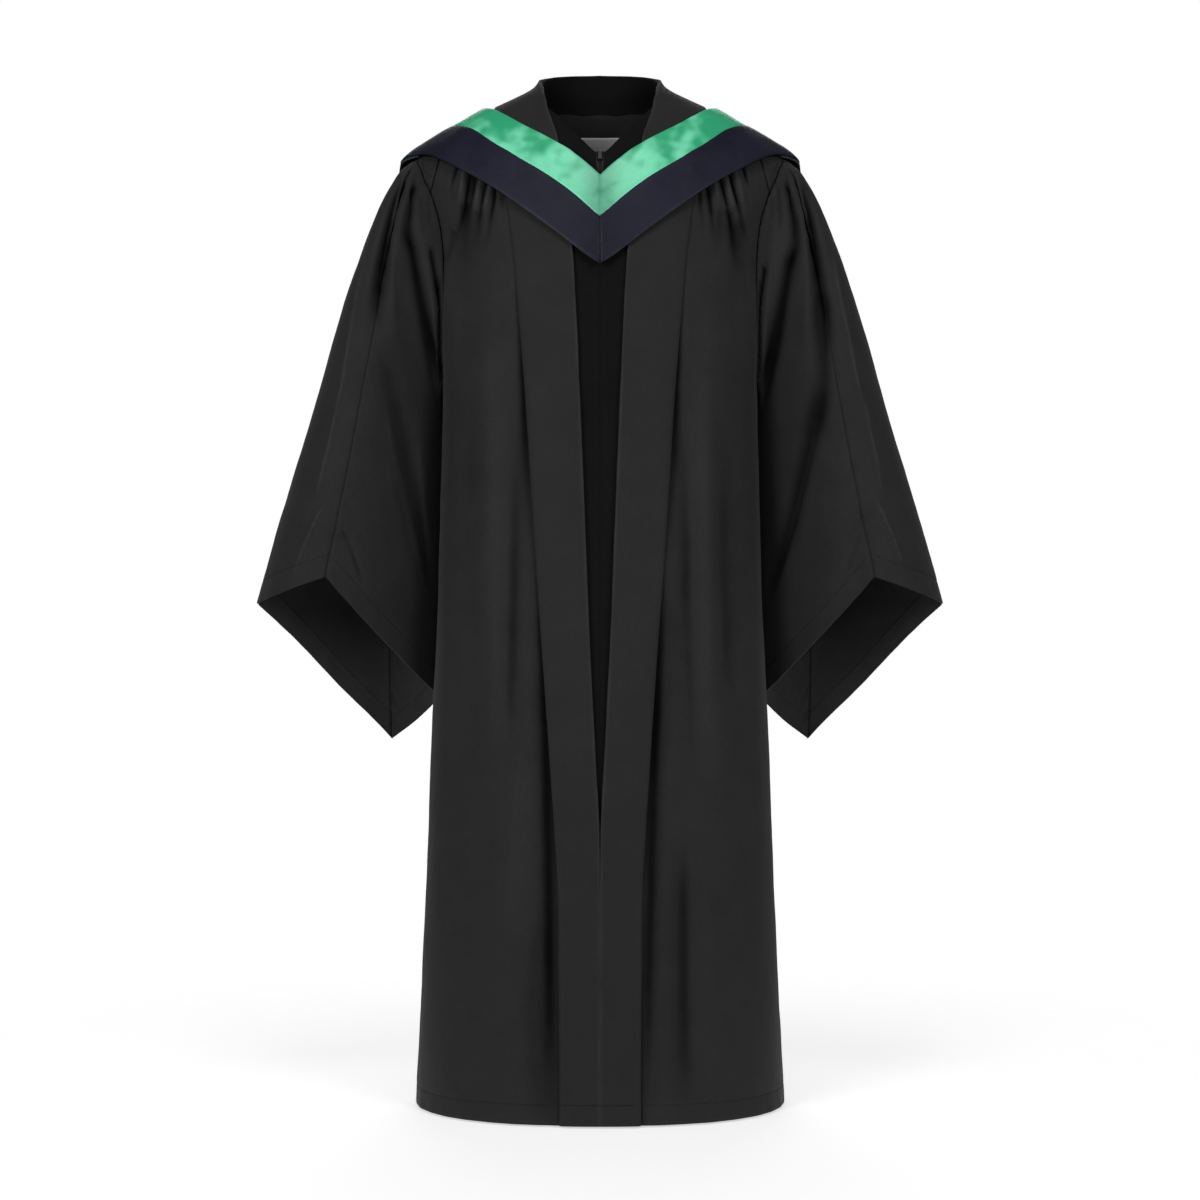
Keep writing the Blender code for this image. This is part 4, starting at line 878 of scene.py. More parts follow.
def front_lift(side, angle, height):
    x = form_x(angle, height)
    fine_folds = folds(FINE_FRONT_FOLDS[side], x, height, FINE_FOLD_TOP)
    lift = (folds(FRONT_FOLDS[side], x, height) + fine_folds) * away_from_sides(angle)
    return lift + gathers(side, angle, height)


def depth_shade(depth, full, shade=DEPTH_SHADE, light=0.0):
    """A factor on the lightness of cloth that lies this far out (or, below 0, in) on its folds."""
    return 1 - shade * smooth_step(-depth / full) + light * smooth_step(depth / full)


def mirrored(points, side):
    return points * np.array([side, 1.0, 1.0])


def side_name(side):
    return "left" if side > 0 else "right"


def front_edge_x(height):
    """Where the front panel meets the zipped panel, under the band."""
    return np.minimum(BAND_OUTER_X(height) - BAND_OVERLAP, YOKE_ROWS[0][0])


def hem_rows():
    """Heights of a panel's rows below the armhole, close together at the sewing of its hem."""
    hem_top = HEM + HEM_ROWS_REACH * BODY_HEM
    at_hem = np.linspace(HEM, hem_top, HEM_ROWS)[:-1]
    return np.concatenate([at_hem, np.linspace(hem_top, ARM_HEIGHT - ARM_RADIUS, PANEL_ROWS)])


def hanging_columns(top_angle, top, low_angle, low, rows):
    """Columns that run down from a top edge. From the ridge they first follow its round top."""
    down = np.linspace(0, 1, rows)[:, None]
    on_ridge = np.abs(top_angle - SIDE) < RIDGE_WIDTH
    angle = blend(top_angle, low_angle, np.where(on_ridge, 1 - (1 - down) ** 2, down))
    height = blend(top, low, np.where(on_ridge, down**2, down))
    return angle, height


def both_sides(half):
    """A grid across the whole body, from one that runs outward from the centre line."""
    return np.concatenate([mirrored(half, -1)[:, :0:-1], half], axis=1)


def back_lift(x, share, angle, height):
    """Gathers that fall from the yoke's seam, and the folds of the skirt below them."""
    seam = arm_height(ARM_STEPS[BACK_YOKE_STEP])
    start = blend(FLUTE_AT_SEAM, 1.0, smooth_step((seam - height) / FLUTE_GROWTH))
    fade = start * (1 - smooth_step((seam - height) / (seam - FLUTE_LOW)))
    flutes = FLUTE_RISE * np.cos(2 * np.pi * FLUTES_PER_SIDE * share) * fade
    return (flutes + folds(BACK_FOLDS + FINE_BACK_FOLDS, x, height)) * away_from_sides(angle)


def station_curve(values):
    return monotone_curve(np.arange(len(values)), values)


def band_edges():
    """Angle and height of both edges of the band, by station from the hem to the shoulder ridge."""
    _, *ridge_heights = COLLAR_ROWS[0]
    edges = []
    for edge, ridge in zip(("inner", "outer"), ridge_heights, strict=True):
        height = BAND[edge + "_height"]
        angle = np.append(front_angle(BAND[edge + "_x"], height), SIDE)
        edges += [station_curve(angle), station_curve(np.append(height, ridge))]
    return edges


def zip_sink(x, height):
    return ZIP_PANEL["sink"](height) * np.exp(-((x / ZIP_SINK_WIDTH) ** 2))


def guide(line, down):
    """Points of a guide line of the sleeve, from the armhole (0) to below the cuff (1)."""
    top, low = GUIDE_ENDS[line]
    height = blend(top, low, down)
    return np.stack([GUIDES[line]["x"](height), GUIDES[line]["y"](height), height], axis=-1)


def arm_loop(step, front):
    height = arm_height(step, ARM_GAP)
    depth = arm_depth(step, ARM_GAP)
    angle = angle_at_depth(depth, height) if front else back_angle_at_depth(depth, height)
    return on_form(angle, height, ARM_LIFT * (step / np.pi) ** 2)


def sleeve_form(across, down, front):
    """Points of a sleeve's front or back, across from its outer (0) to its inner (1) fold."""
    across, down = np.broadcast_arrays(across, down)
    seam, roundness = (FRONT_SEAM, FRONT_ROUND) if front else (BACK_SEAM, BACK_ROUND)
    line = FRONT_LINE if front else BACK_LINE
    first, second = roundness, roundness * (1 - seam) / seam
    swell = ((across / seam) ** first * ((1 - across) / (1 - seam)) ** second)[..., None]
    share = across[..., None]

    def section(level):
        outer, middle, inner = guide(OUTER_LINE, level), guide(line, level), guide(INNER_LINE, level)
        return blend(outer, inner, share) + (middle - blend(outer, inner, seam)) * swell

    step = np.where(
        across < seam,
        ARM_STEPS[0] * across / seam,
        blend(ARM_STEPS[0], np.pi, (across - seam) / (1 - seam)),
    )
    near_arm = np.clip(1 - down / ARM_BLEND, 0, 1)[..., None] ** 3
    tucked = smooth_step((across - ARM_TUCK_FROM) / (1 - ARM_TUCK_FROM))[..., None]
    clear = blend(np.array(ARM_CLEAR), np.array(ARM_TUCK), tucked)
    clear_of_body = (np.clip(down / ARM_CLEAR_BY, 0, 1) * across)[..., None] * clear
    from_loop = arm_loop(step, front) - section(np.zeros_like(down)) + clear_of_body
    return section(down) + near_arm * from_loop


def cuff_height(across, x, front):
    """The height of the cuff's edge at this x, on straight lines between its corners."""
    seam = FRONT_SEAM if front else BACK_SEAM
    middle = CUFF_FRONT if front else CUFF_BACK
    outer_run = middle[1] + (x - middle[0]) * (CUFF_OUTER[1] - middle[1]) / (CUFF_OUTER[0] - middle[0])
    inner_run = middle[1] + (x - middle[0]) * (CUFF_INNER[1] - middle[1]) / (CUFF_INNER[0] - middle[0])
    return np.where(across < seam, outer_run, inner_run)


def cuff_place(across, front):
    """How far down each column of the sleeve reaches its cuff, found by halving."""
    high, low = np.full(across.shape, CUFF_SEARCH_FROM), np.ones(across.shape)
    for _ in range(CUFF_SEARCH_STEPS):
        middle = (high + low) / 2
        points = sleeve_form(across, middle, front)
        above = points[..., 2] > cuff_height(across, points[..., 0], front)
        high, low = np.where(above, middle, high), np.where(above, low, middle)
    return high


def sleeve_columns(across, front, side, seam_side):
    """Columns of a sleeve from its armhole to its cuff, with their folds and the gap at its seam."""
    on_seam = seam_side * (across == (FRONT_SEAM if front else BACK_SEAM))
    gap_at_arm, gap_at_cuff = SLEEVE_SEAM_GAPS
    above_cuff = edged(np.linspace(0, CUFF_FROM, SLEEVE_ROWS))[:-2]
    rows = np.concatenate([above_cuff, np.linspace(CUFF_FROM, 1, CUFF_ROWS)])[:, None]
    share = across + on_seam * blend(gap_at_arm, gap_at_cuff, rows)
    down = rows**SLEEVE_ROWS_CROWD_UP * cuff_place(share[-1], front)
    points = sleeve_form(share, down, front)
    if front:
        broad, sharp, outward = SLEEVE_FRONT_FOLDS[side], FINE_SLEEVE_FOLDS[side], FRONT_OUTWARD
    else:
        broad, sharp, outward = SLEEVE_BACK_FOLDS, FINE_SLEEVE_BACK_FOLDS, BACK_OUTWARD
    within = smooth_step(share / SLEEVE_FOLD_FADE) * smooth_step((1 - share) / SLEEVE_FOLD_FADE)
    x, height = points[..., 0], points[..., 2]
    rise = folds(broad, x, height) * smooth_step(down / ARM_FOLD_FADE) * within
    lift = folds(sharp, x, height, FINE_FOLD_TOP) * smooth_step(down / ARM_FINE_FADE) * within
    normals = outward_normals(points, lambda grid: grid - outward)
    points = points + rise[..., None] * outward + FINE_SLEEVE_RISE * lift[..., None] * normals
    shade = depth_shade(lift, SLEEVE_DEPTH)
    if not front:
        near_edge = smooth_step((rows - CUFF_WAVE_FROM) / (1 - CUFF_WAVE_FROM))
        points[..., 2] += CUFF_WAVE * (np.sin(2 * np.pi * CUFF_WAVES * share) * near_edge)
        near_cuff = smooth_step((rows - CUFF_LIGHT_FROM) / (1 - CUFF_LIGHT_FROM))
        shade = shade + CUFF_INSIDE_LIGHT * near_cuff
    return points, shade


def hood_edges():
    """Angle, height and lift of the hood's three edges, by station from front to back."""
    front, back = columns_of(HOOD_COLUMNS, HOOD_FRONT_ROWS), columns_of(HOOD_COLUMNS, HOOD_BACK_ROWS)
    edges = {}
    for edge, (ridge, ridge_lift) in HOOD_RIDGE.items():
        x, height = edge + "_x", edge + "_height"
        front_side = front_angle(front[x], front[height], "over")
        back_side = np.pi - front_angle(back[x], back[height], "over")
        angles = np.concatenate([front_side, [SIDE], back_side])
        heights = np.concatenate([front[height], [ridge], back[height]])
        lifts = np.concatenate([front["lift"], [ridge_lift], back["lift"]])
        edges[edge] = [station_curve(column) for column in (angles, heights, lifts)]
    return edges


def hood_strip(first, second, stations, across, cowl=0.0):
    """A strip of the hood between two of its edges, over these stations."""
    edges = hood_edges()
    station, share = np.array(stations)[:, None], np.array(across)[None, :]
    start, end = [[curve(station) for curve in edges[edge]] for edge in (first, second)]
    angle, height, lift = [blend(a, b, share) for a, b in zip(start, end, strict=True)]
    behind = smooth_step((station - HOOD_AT_RIDGE) / COWL_GROWTH)
    wave = cowl * behind * np.sin(2 * np.pi * COWL_FOLDS * share)
    return on_form(angle, height, lift + wave, "over")


def hood_stations(first, last):
    """Stations of a strip, drawn in from the seams at its ends."""
    start = first + (STATION_GAP if first else HOOD_MITRE)
    end = last - (STATION_GAP if last == HOOD_AT_RIDGE else HOOD_MITRE)
    return edged(np.linspace(start, end, HOOD_TIMES * (last - first) + 1))


def axis_of_body(points):
    """The point of the body's own axis level with each point."""
    return points * np.array([0.0, 0.0, 1.0])


def axis_of_sleeve(points):
    """The middle of each row of a sleeve."""
    return points.mean(axis=1, keepdims=True)


def outward_normals(points, axis):
    """The normals of a grid of points, on the side that faces away from its axis."""
    along, across = np.gradient(points, axis=(0, 1))
    normals = np.cross(across, along)
    normals /= np.maximum(np.linalg.norm(normals, axis=-1, keepdims=True), 1e-12)
    return normals * np.sign((normals * (points - axis(points))).sum())


def edge_distances(points):
    """How much cloth lies between each point of a grid and each of its four edges."""
    steps_down = np.linalg.norm(np.diff(points, axis=0), axis=-1)
    steps_across = np.linalg.norm(np.diff(points, axis=1), axis=-1)
    down = np.vstack([np.zeros(points.shape[1]), np.cumsum(steps_down, axis=0)])
    across = np.hstack([np.zeros((points.shape[0], 1)), np.cumsum(steps_across, axis=1)])
    return {
        "first_row": down,
        "last_row": down[-1:] - down,
        "first_column": across,
        "last_column": across[:, -1:] - across,
    }


def unevenness(points, size, seed):
    """Smooth noise between -1 and 1 at each point, with swells of this size."""
    flat = points.reshape(-1, 3) / size + seed
    return np.array([noise.noise(Vector(point)) for point in flat]).reshape(points.shape[:2])


def dress(points, axis, rolls=(), puckers=(), swell=0.0, seed=0.0):
    """The cloth's small relief: rolled edges, grooves of sewing, puckers and soft unevenness."""
    distances = edge_distances(points)
    lift = swell * unevenness(points, SWELL_SIZE, seed)
    small = unevenness(points, SWELL_SIZE / SMALL_SWELL, seed + SMALL_SWELL_SEED)
    lift += SMALL_SWELL_SHARE * swell * small
    for edge, distance, width, rise in rolls:
        lift += rise * np.exp(-(((distances[edge] - distance) / width) ** 2))
    for edge, wave, reach, rise in puckers:
        along = distances["first_column" if edge.endswith("row") else "first_row"]
        drift = PUCKER_DRIFT * unevenness(points, PUCKER_DRIFT_WAVES * wave, seed + PUCKER_SEED)
        ripple = np.sin(2 * np.pi * along / wave + drift)
        lift += rise * ripple * np.exp(-distances[edge] / reach)
    return points + outward_normals(points, axis) * lift[..., None]


def hollows(points, normals, reach):
    """How far the cloth lies below the chord to its neighbours this far away in its row."""
    across = edge_distances(points)["first_column"]
    depth = np.empty(points.shape[:2])
    for row, place, normal, out in zip(points, across, normals, depth, strict=True):
        step = np.minimum(reach, np.minimum(place, place[-1] - place))
        before, after = [
            np.stack([np.interp(place + way * step, place, row[:, k]) for k in range(3)], -1)
            for way in (-1, 1)
        ]
        out[:] = (((before + after) / 2 - row) * normal).sum(axis=-1)
    return depth


def painted_shade_and_light(points, axis):
    """A factor on the cloth's lightness: painted shade in the folds, and a painted highlight on sharp
    creases.
    """
    normals = outward_normals(points, axis)
    light = np.ones(points.shape[:2])
    for reach, least, full, strength in FOLD_SHADES:
        across = hollows(points, normals, reach)
        along = hollows(points.transpose(1, 0, 2), normals.transpose(1, 0, 2), reach).T
        light *= 1 - strength * smooth_step((np.maximum(across, along) - least) / full)
    sharp = smooth_step((-hollows(points, normals, CREASE_REACH) - CREASE_LEAST) / CREASE_RISE)
    return np.maximum(light, LEAST_LIGHT) + CREASE_LIGHT * sharp


def faced(points, front):
    """The painted shade and light of a strip that is folded over, with more painted shade where it faces the
    inside.
    """
    return painted_shade_and_light(points, axis_of_body) * blend(FACING_PAINTED_TONE, 1.0, front)


def edge_shade(points, edge, strength, reach):
    """A factor on the lightness of a piece, dimmer towards one of its edges."""
    return 1 - strength * np.exp(-((edge_distances(points)[edge] / reach) ** 2))


def painted_shade_and_light_round(outer, inner):
    """The painted shade and light of both halves of a sleeve, with each fold followed over the seams between
    them, and painted shade in the cleft against the body.
    """
    around = np.concatenate([inner[:, ::-1], outer, inner[:, ::-1], outer], axis=1)
    tone = painted_shade_and_light(around, axis_of_sleeve)
    count = inner.shape[1]
    inner_tone = tone[:, count + outer.shape[1] : 2 * count + outer.shape[1]][:, ::-1]
    distances = edge_distances(inner)
    fold = len(arm_shares()) - 1
    aside = distances["first_column"] - distances["first_column"][:, fold : fold + 1]
    reach = blend(*CLEFT_REACH, smooth_step(distances["first_row"] / CLEFT_DOWN))
    inner_tone = inner_tone * (1 - CLEFT_SHADE * np.exp(-((aside / reach) ** 2)))
    return tone[:, count : count + outer.shape[1]], inner_tone


def mesh_object(name, vertices, faces, material):
    mesh = bpy.data.meshes.new(name)
    mesh.from_pydata([tuple(vertex) for vertex in vertices], [], faces)
    mesh.shade_smooth()
    mesh.materials.append(material)
    obj = bpy.data.objects.new(name, mesh)
    bpy.context.scene.collection.objects.link(obj)
    return obj


def lay_cloth(name, points, wall, material, tone=None):
    """One piece of cloth on a grid of points. Its UVs are lengths along the cloth, in metres. Its tone of
    painted shade and light goes to its material as a point attribute.
    """
    tone = painted_shade_and_light(points, axis_of_body) if tone is None else tone
    rows, columns = points.shape[:2]
    corner = np.arange(rows * columns).reshape(rows, columns)
    loops = [corner[:-1, :-1], corner[:-1, 1:], corner[1:, 1:], corner[1:, :-1]]
    faces = np.stack(loops, axis=-1).reshape(-1, 4)
    obj = mesh_object(name, points.reshape(-1, 3), faces.tolist(), material)
    distances = edge_distances(points)
    place = np.stack([distances["first_column"], distances["first_row"]], axis=-1).reshape(-1, 2)
    uv_map = obj.data.uv_layers.new(name="cloth")
    uv_map.data.foreach_set("uv", place[faces.reshape(-1)].reshape(-1))
    # Painted shade towards the hem, multiplied into the painted shade and light that the point attribute
    # carries
    high, low = HEM_SHADE_HEIGHTS
    tone = tone * (1 - HEM_SHADE * smooth_step((high - points[..., 2]) / (high - low)))
    obj.data.attributes.new("painted_shade_and_light", "FLOAT", "POINT").data.foreach_set("value", tone.reshape(-1))
    solid = obj.modifiers.new("wall", "SOLIDIFY")
    solid.thickness = wall
    solid.offset = 0
    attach(obj, "root")
    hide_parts(name)


def front_panel_points(side):
    steps = ARM_FINE[FRONT_YOKE_STEP * ARM_TIMES : -1][::-1]
    corner_x, corner = YOKE_ROWS[-1]
    tip = arm_height(steps[-1])
    tip_angle = angle_at_depth(arm_depth(steps[-1]), tip)
    tip_x = on_form(tip_angle, tip)[0]
    edge_share = np.linspace(0, 1, CORNER_ROWS + 1)[1:]
    edge_x = blend(tip_x, corner_x, edge_share)
    edge_height = blend(tip, corner, edge_share)
    below_arm = hem_rows()
    level = np.concatenate([below_arm, arm_height(steps), edge_height])[:, None]
    outer = np.concatenate(
        [
            angle_at_depth(SEAM, below_arm),
            angle_at_depth(arm_depth(steps), arm_height(steps)),
            front_angle(edge_x, edge_height),
        ]
    )[:, None]

    across = edged(np.linspace(0, 1, FRONT_COLUMNS))[None, :]
    top_x = blend(YOKE_ROWS[0][0] + SEAM, corner_x, across)
    top = YOKE["height"](top_x)
    top_angle = front_angle(top_x, top)
    top_share = (top_angle - top_angle[:, :1]) / (top_angle[:, -1:] - top_angle[:, :1])
    near_top = smooth_step((level - TOP_SPREAD_LOW) / (corner - TOP_SPREAD_LOW))
    height = HEM + (level - HEM) * (top - HEM) / (corner - HEM)
    inner = front_angle(front_edge_x(height) + SEAM, height)
    angle = blend(inner, outer, blend(across, top_share, near_top))
    angle[-1] = top_angle[0]
    lift = front_lift(side, angle, height) + folds(BESIDE_BAND, on_form(angle, height)[..., 0], height)
    shade = depth_shade(gathers(side, angle, height), GATHER_DEPTH)
    shade *= depth_shade(lift, BROAD_DEPTH, BROAD_SHADE, BROAD_LIGHT)
    return mirrored(on_form(angle, height, lift), side), shade


def front_yoke_points(side):
    corner_x, corner = YOKE_ROWS[-1]
    steps = fine(ARM_STEPS[: FRONT_YOKE_STEP + 1], YOKE_TIMES)[::-1].copy()
    steps[0] -= YOKE_TIP_GAP
    tip = arm_height(steps[0])
    tip_x = on_form(angle_at_depth(arm_depth(steps[0]), tip), tip)[0]
    to_corner = len(BACK_SEAM_X) - 1
    seam_x = np.linspace(YOKE_INNER_X, corner_x + YOKE_SEAM, to_corner * YOKE_TIMES + 1)
    share = np.arange(1, 2 * YOKE_TIMES) / (2 * YOKE_TIMES)
    edge_x = np.append(seam_x, blend(corner_x, tip_x, share) + YOKE_SEAM)
    edge = np.append(YOKE["height"](seam_x) + YOKE_SEAM, blend(corner + YOKE_SEAM, tip, share))
    low_angle = np.append(front_angle(edge_x, edge), angle_at_depth(arm_depth(steps), arm_height(steps)))
    low = np.append(edge, arm_height(steps))
    inner_x = np.linspace(YOKE_INNER_X, YOKE_RIDGE_OUTER_X, to_corner + 1)
    ridge_x = np.concatenate([inner_x, YOKE_RIDGE_X, [BODY["half"](arm_height(0))]])
    top = RIDGE_HEIGHT(fine(ridge_x, YOKE_TIMES))
    angle, height = hanging_columns(angle_at_depth(SEAM, top), top, low_angle, low, FRONT_YOKE_ROWS)
    last_steps = np.linspace(0, steps[-1], FRONT_YOKE_ROWS)
    height[:, -1] = arm_height(last_steps)
    angle[:, -1] = angle_at_depth(np.maximum(arm_depth(last_steps), SEAM), height[:, -1])
    return mirrored(on_form(angle, height), side)


def back_yoke_points(lift=0.0):
    """Half of the back yoke's grid, from the centre line to the sleeve."""
    seam = arm_height(ARM_STEPS[BACK_YOKE_STEP]) + 2 * SEAM
    steps = ARM_STEPS[: BACK_YOKE_STEP + 1][::-1].copy()
    steps[0] = np.arccos((seam - ARM_HEIGHT) / ARM_RADIUS)
    end_x = on_form(back_angle_at_depth(arm_depth(steps[0]), seam), seam)[0]
    seam_x = fine(np.append(BACK_SEAM_X, end_x), YOKE_TIMES)
    steps = fine(steps, YOKE_TIMES)[1:]
    seam_angle = np.pi - front_angle(seam_x, seam)
    low_angle = np.append(seam_angle, back_angle_at_depth(arm_depth(steps), arm_height(steps)))
    low = np.append(np.full(len(seam_x), seam), arm_height(steps))
    neck_end = back_angle_at_depth(SEAM, NECK_TOP)
    neck_angle = fine(np.append(BACK_NECK_ANGLES, neck_end), YOKE_TIMES)[:-1]
    ridge_x = np.concatenate([[BODY["half"](NECK_TOP)], BACK_RIDGE_X, [BODY["half"](arm_height(0))]])
    ridge = RIDGE_HEIGHT(fine(ridge_x, YOKE_TIMES))
    top_angle = np.append(neck_angle, back_angle_at_depth(SEAM, ridge))
    top = np.append(np.full(len(neck_angle), NECK_TOP), ridge)
    angle, height = hanging_columns(top_angle, top, low_angle, low, BACK_YOKE_ROWS)
    last_steps = np.linspace(0, steps[-1], BACK_YOKE_ROWS)
    height[:, -1] = arm_height(last_steps)
    angle[:, -1] = back_angle_at_depth(np.maximum(arm_depth(last_steps), SEAM), height[:, -1])
    return on_form(angle, height, lift)


def back_panel_points():
    steps = ARM_FINE[BACK_YOKE_STEP * ARM_TIMES : -1][::-1]
    below_arm = hem_rows()
    level = np.concatenate([below_arm, arm_height(steps)])[:, None]
    outer = np.concatenate(
        [
            back_angle_at_depth(SEAM, below_arm),
            back_angle_at_depth(arm_depth(steps), arm_height(steps)),
        ]
    )[:, None]
    halves, shades = [], []
    for side in (-1, 1):
        share = edged(np.linspace(0, 1, BACK_COLUMNS))[None, :]
        angle, height = np.broadcast_arrays(blend(BACK_CENTRE, outer, share), level)
        x = side * on_form(angle, height)[..., 0]
        lift = back_lift(x, share, angle, height)
        halves.append(mirrored(on_form(angle, height, lift), side))
        shades.append(depth_shade(lift, BROAD_DEPTH, BROAD_SHADE, BROAD_LIGHT))
    return [np.concatenate([right[:, :0:-1], left], axis=1) for right, left in (halves, shades)]


def fold_profile(flat, turn_rows, facing):
    """Where a strip lies from its outer edge over a fold and back behind itself.

    Gives, in each column, its place as a multiple of the fold's radius, its share of the flat
    width, its share of the facing, and its lift as a share from the facing (0) to the front (1).
    """
    turn = np.linspace(0, np.pi, turn_rows)
    ahead, behind = edged(np.linspace(1, 0, flat))[:-1], edged(np.linspace(0, 1, facing))[1:]
    nothing, nowhere = np.zeros(turn_rows), np.zeros(len(behind))
    radius = np.concatenate([np.ones(len(ahead)), 1 - np.sin(turn), np.ones(len(behind))])
    width = np.concatenate([ahead, nothing, nowhere])
    inside = np.concatenate([np.zeros(len(ahead)), nothing, behind])
    front = np.concatenate([np.ones(len(ahead)), (1 + np.cos(turn)) / 2, nowhere])
    return radius, width, inside, front


def front_band_points(side):
    """The band from its outer edge to the fold at its inner one, and its facing behind that."""
    inner_angle, inner, outer_angle, outer = band_edges()
    ridge = len(BAND_ROWS)
    station = np.linspace(0, ridge, BAND_TIMES * ridge + 1)
    station = np.union1d(station, np.linspace(0, BAND_HEM_STATION, BAND_ROWS_AT_HEM))[:, None]
    station[-1] -= STATION_GAP
    at_neck = smooth_step((station - NECK_STATIONS[0]) / (NECK_STATIONS[1] - NECK_STATIONS[0]))
    facing_lift = blend(BAND_FACING_LIFT, FACING_LIFT, at_neck)
    inner_edge = on_form(inner_angle(station), inner(station))
    outer_edge = on_form(outer_angle(station), outer(station))
    across = np.linalg.norm(outer_edge - inner_edge, axis=-1)
    radius, width, inside, front = fold_profile(BAND_COLUMNS_ACROSS, FOLD_COLUMNS_ROUND, FACING_COLUMNS)
    turn = (BAND_LIFT - facing_lift) / 2 / across
    facing_at_neck = (inner(ridge) - FACING_LOW) / (inner(ridge) - outer(ridge))
    facing = blend(BAND_FACING / across, facing_at_neck, at_neck)
    share = turn * radius + (1 - turn) * width + (facing - turn) * inside
    angle = blend(inner_angle(station), outer_angle(station), share)
    height = blend(inner(station), outer(station), share)
    lift = blend(facing_lift, BAND_LIFT, front) + front_lift(side, angle, height)
    return mirrored(on_form(angle, height, lift), side)


def collar_points():
    """The collar from its outer lower edge over its top fold and down its inner facing."""
    angle = np.linspace(BACK_CENTRE, SIDE + COLLAR_GAP, COLLAR_COLUMNS_ROUND)[None, :]
    degrees = np.degrees(angle)
    top, low = COLLAR["inner_height"](degrees), COLLAR["outer_height"](degrees)
    facing_low = FACING_LOW + FACING_WAVE * np.sin(FACING_WAVES * (angle - SIDE))
    profile = fold_profile(BAND_COLUMNS_ACROSS, FOLD_COLUMNS_ROUND, BAND_COLUMNS_ACROSS)
    radius, width, inside, front = [column[:, None] for column in profile]
    turn = (BAND_LIFT - FACING_LIFT) / 2
    drop = turn * radius + (top - turn - low) * width + (top - turn - facing_low) * inside
    lift = np.broadcast_to(blend(FACING_LIFT, BAND_LIFT, front), drop.shape)
    return both_sides(on_form(angle, top - drop, lift))


def zip_panel_points(side):
    rows, columns = ZIP_PANEL_GRID
    across = edged(np.linspace(0, 1, columns))[None, :]
    up = 1 - (1 - edged(np.linspace(0, 1, rows))[:, None]) ** ZIP_ROWS_CROWD_UP
    height = blend(HEM, ZIP_TOP["height"](across), up)
    outer_x = np.minimum(ZIP_PANEL["outer_x"](height), front_edge_x(height) - SEAM)
    x = blend(ZIP_PANEL["gap"](height), outer_x, across)
    angle = front_angle(x, height)
    return mirrored(on_form(angle, height, front_lift(side, angle, height) - zip_sink(x, height)), side)


def zip_tape_points():
    rows, columns = TAPE_GRID
    x = np.linspace(0, TAPE_HALF, columns)[None, :]
    height = np.linspace(TAPE_TOP, TAPE_LOW, rows)[:, None]
    return both_sides(on_form(front_angle(x, height), height, -zip_sink(x, height) - TAPE_DROP))


def label_points():
    """A blank label on the inside of the back yoke, on the yoke's own points moved in."""
    yoke = back_yoke_points(-LABEL_DROP)
    first, last = np.array(LABEL_YOKE_ROWS) / YOKE_ROWS_OF_LABEL * (BACK_YOKE_ROWS - 1)
    rows = np.linspace(first, last, LABEL_GRID[0])
    columns = np.linspace(0, LABEL_YOKE_COLUMN * YOKE_TIMES, LABEL_GRID[1])
    row, column = np.meshgrid(rows, columns, indexing="ij")
    i, j = row.astype(int), column.astype(int)
    down, across = (row - i)[..., None], (column - j)[..., None]
    upper = blend(yoke[i, j], yoke[i, j + 1], across)
    lower = blend(yoke[i + 1, j], yoke[i + 1, j + 1], across)
    return both_sides(blend(upper, lower, down))


def arm_shares():
    """Places round the armhole from the sleeve's seam (0) to the armpit (1)."""
    return fine((ARM_STEPS - ARM_STEPS[0]) / (np.pi - ARM_STEPS[0]), ARM_TIMES)


def sleeve_points(side):
    """The inner and the outer half of a sleeve, each with the shade of its deep folds."""
    arm_share = arm_shares()
    outer_share = np.linspace(1, 0, SLEEVE_OUTER_COLUMNS) ** 2
    front_inner = FRONT_SEAM + (1 - FRONT_SEAM) * arm_share
    back_inner = BACK_SEAM + (1 - BACK_SEAM) * arm_share[::-1]
    front_outer = FRONT_SEAM * outer_share
    back_outer = BACK_SEAM * outer_share[::-1]
    halves = []
    for front_share, back_share, seam_side in (
        (front_inner, back_inner[1:], 1),
        (front_outer, back_outer[1:], -1),
    ):
        front, front_shade = sleeve_columns(front_share, True, side, seam_side)
        back, back_shade = sleeve_columns(back_share, False, side, seam_side)
        points = mirrored(np.concatenate([front, back], axis=1), side)
        halves.append((points, np.concatenate([front_shade, back_shade], axis=1)))
    return halves


def hood_points():
    """The hood's trim and front band on the wearer's left, and its back, as grids of points."""
    last = HOOD_AT_RIDGE + len(HOOD_BACK_ROWS)
    whole, front = hood_stations(0, last), hood_stations(0, HOOD_AT_RIDGE)
    across = edged(np.linspace(0, 1 - HOOD_SEAM, HOOD_COLUMNS_ACROSS))
    trim = hood_strip("inner", "join", whole, across)
    band = hood_strip("join", "outer", front, across + HOOD_SEAM)
    behind = hood_stations(HOOD_AT_RIDGE, last)[::-1].copy()
    behind[0] = last
    cowl_across = edged(np.linspace(HOOD_SEAM, 1, COWL_COLUMNS_ACROSS))
    back = hood_strip("join", "outer", behind, cowl_across, COWL_RISE)
    return trim, band, both_sides(back.transpose(1, 0, 2))


def tube_faces(first, rings, around):
    """Faces of a closed tube through rings of vertices that follow each other from the first on."""
    faces = []
    for ring in range(rings - 1):
        for j in range(around):
            a = first + ring * around + j
            b = first + ring * around + (j + 1) % around
            faces.append((a, b, b + around, a + around))
    last = first + (rings - 1) * around
    faces.append(tuple(range(first, first + around))[::-1])
    faces.append(tuple(range(last, last + around)))
    return faces


def spindle(end, shoulder, half_width, half_height, tip):
    """A spindle's profile: places along it, and its half width and half height there."""
    thin = (tip[0] * half_width, tip[1] * half_height)
    thick = (half_width, half_height)
    return [(-end, *thin), (-shoulder, *thick), (shoulder, *thick), (end, *thin)]


def lofted(name, rings, material):
    """A closed mesh through rings of points with the same count, ending in its first and last ring."""
    rings = np.asarray(rings, float)
    return mesh_object(name, rings.reshape(-1, 3), tube_faces(0, *rings.shape[:2]), material)


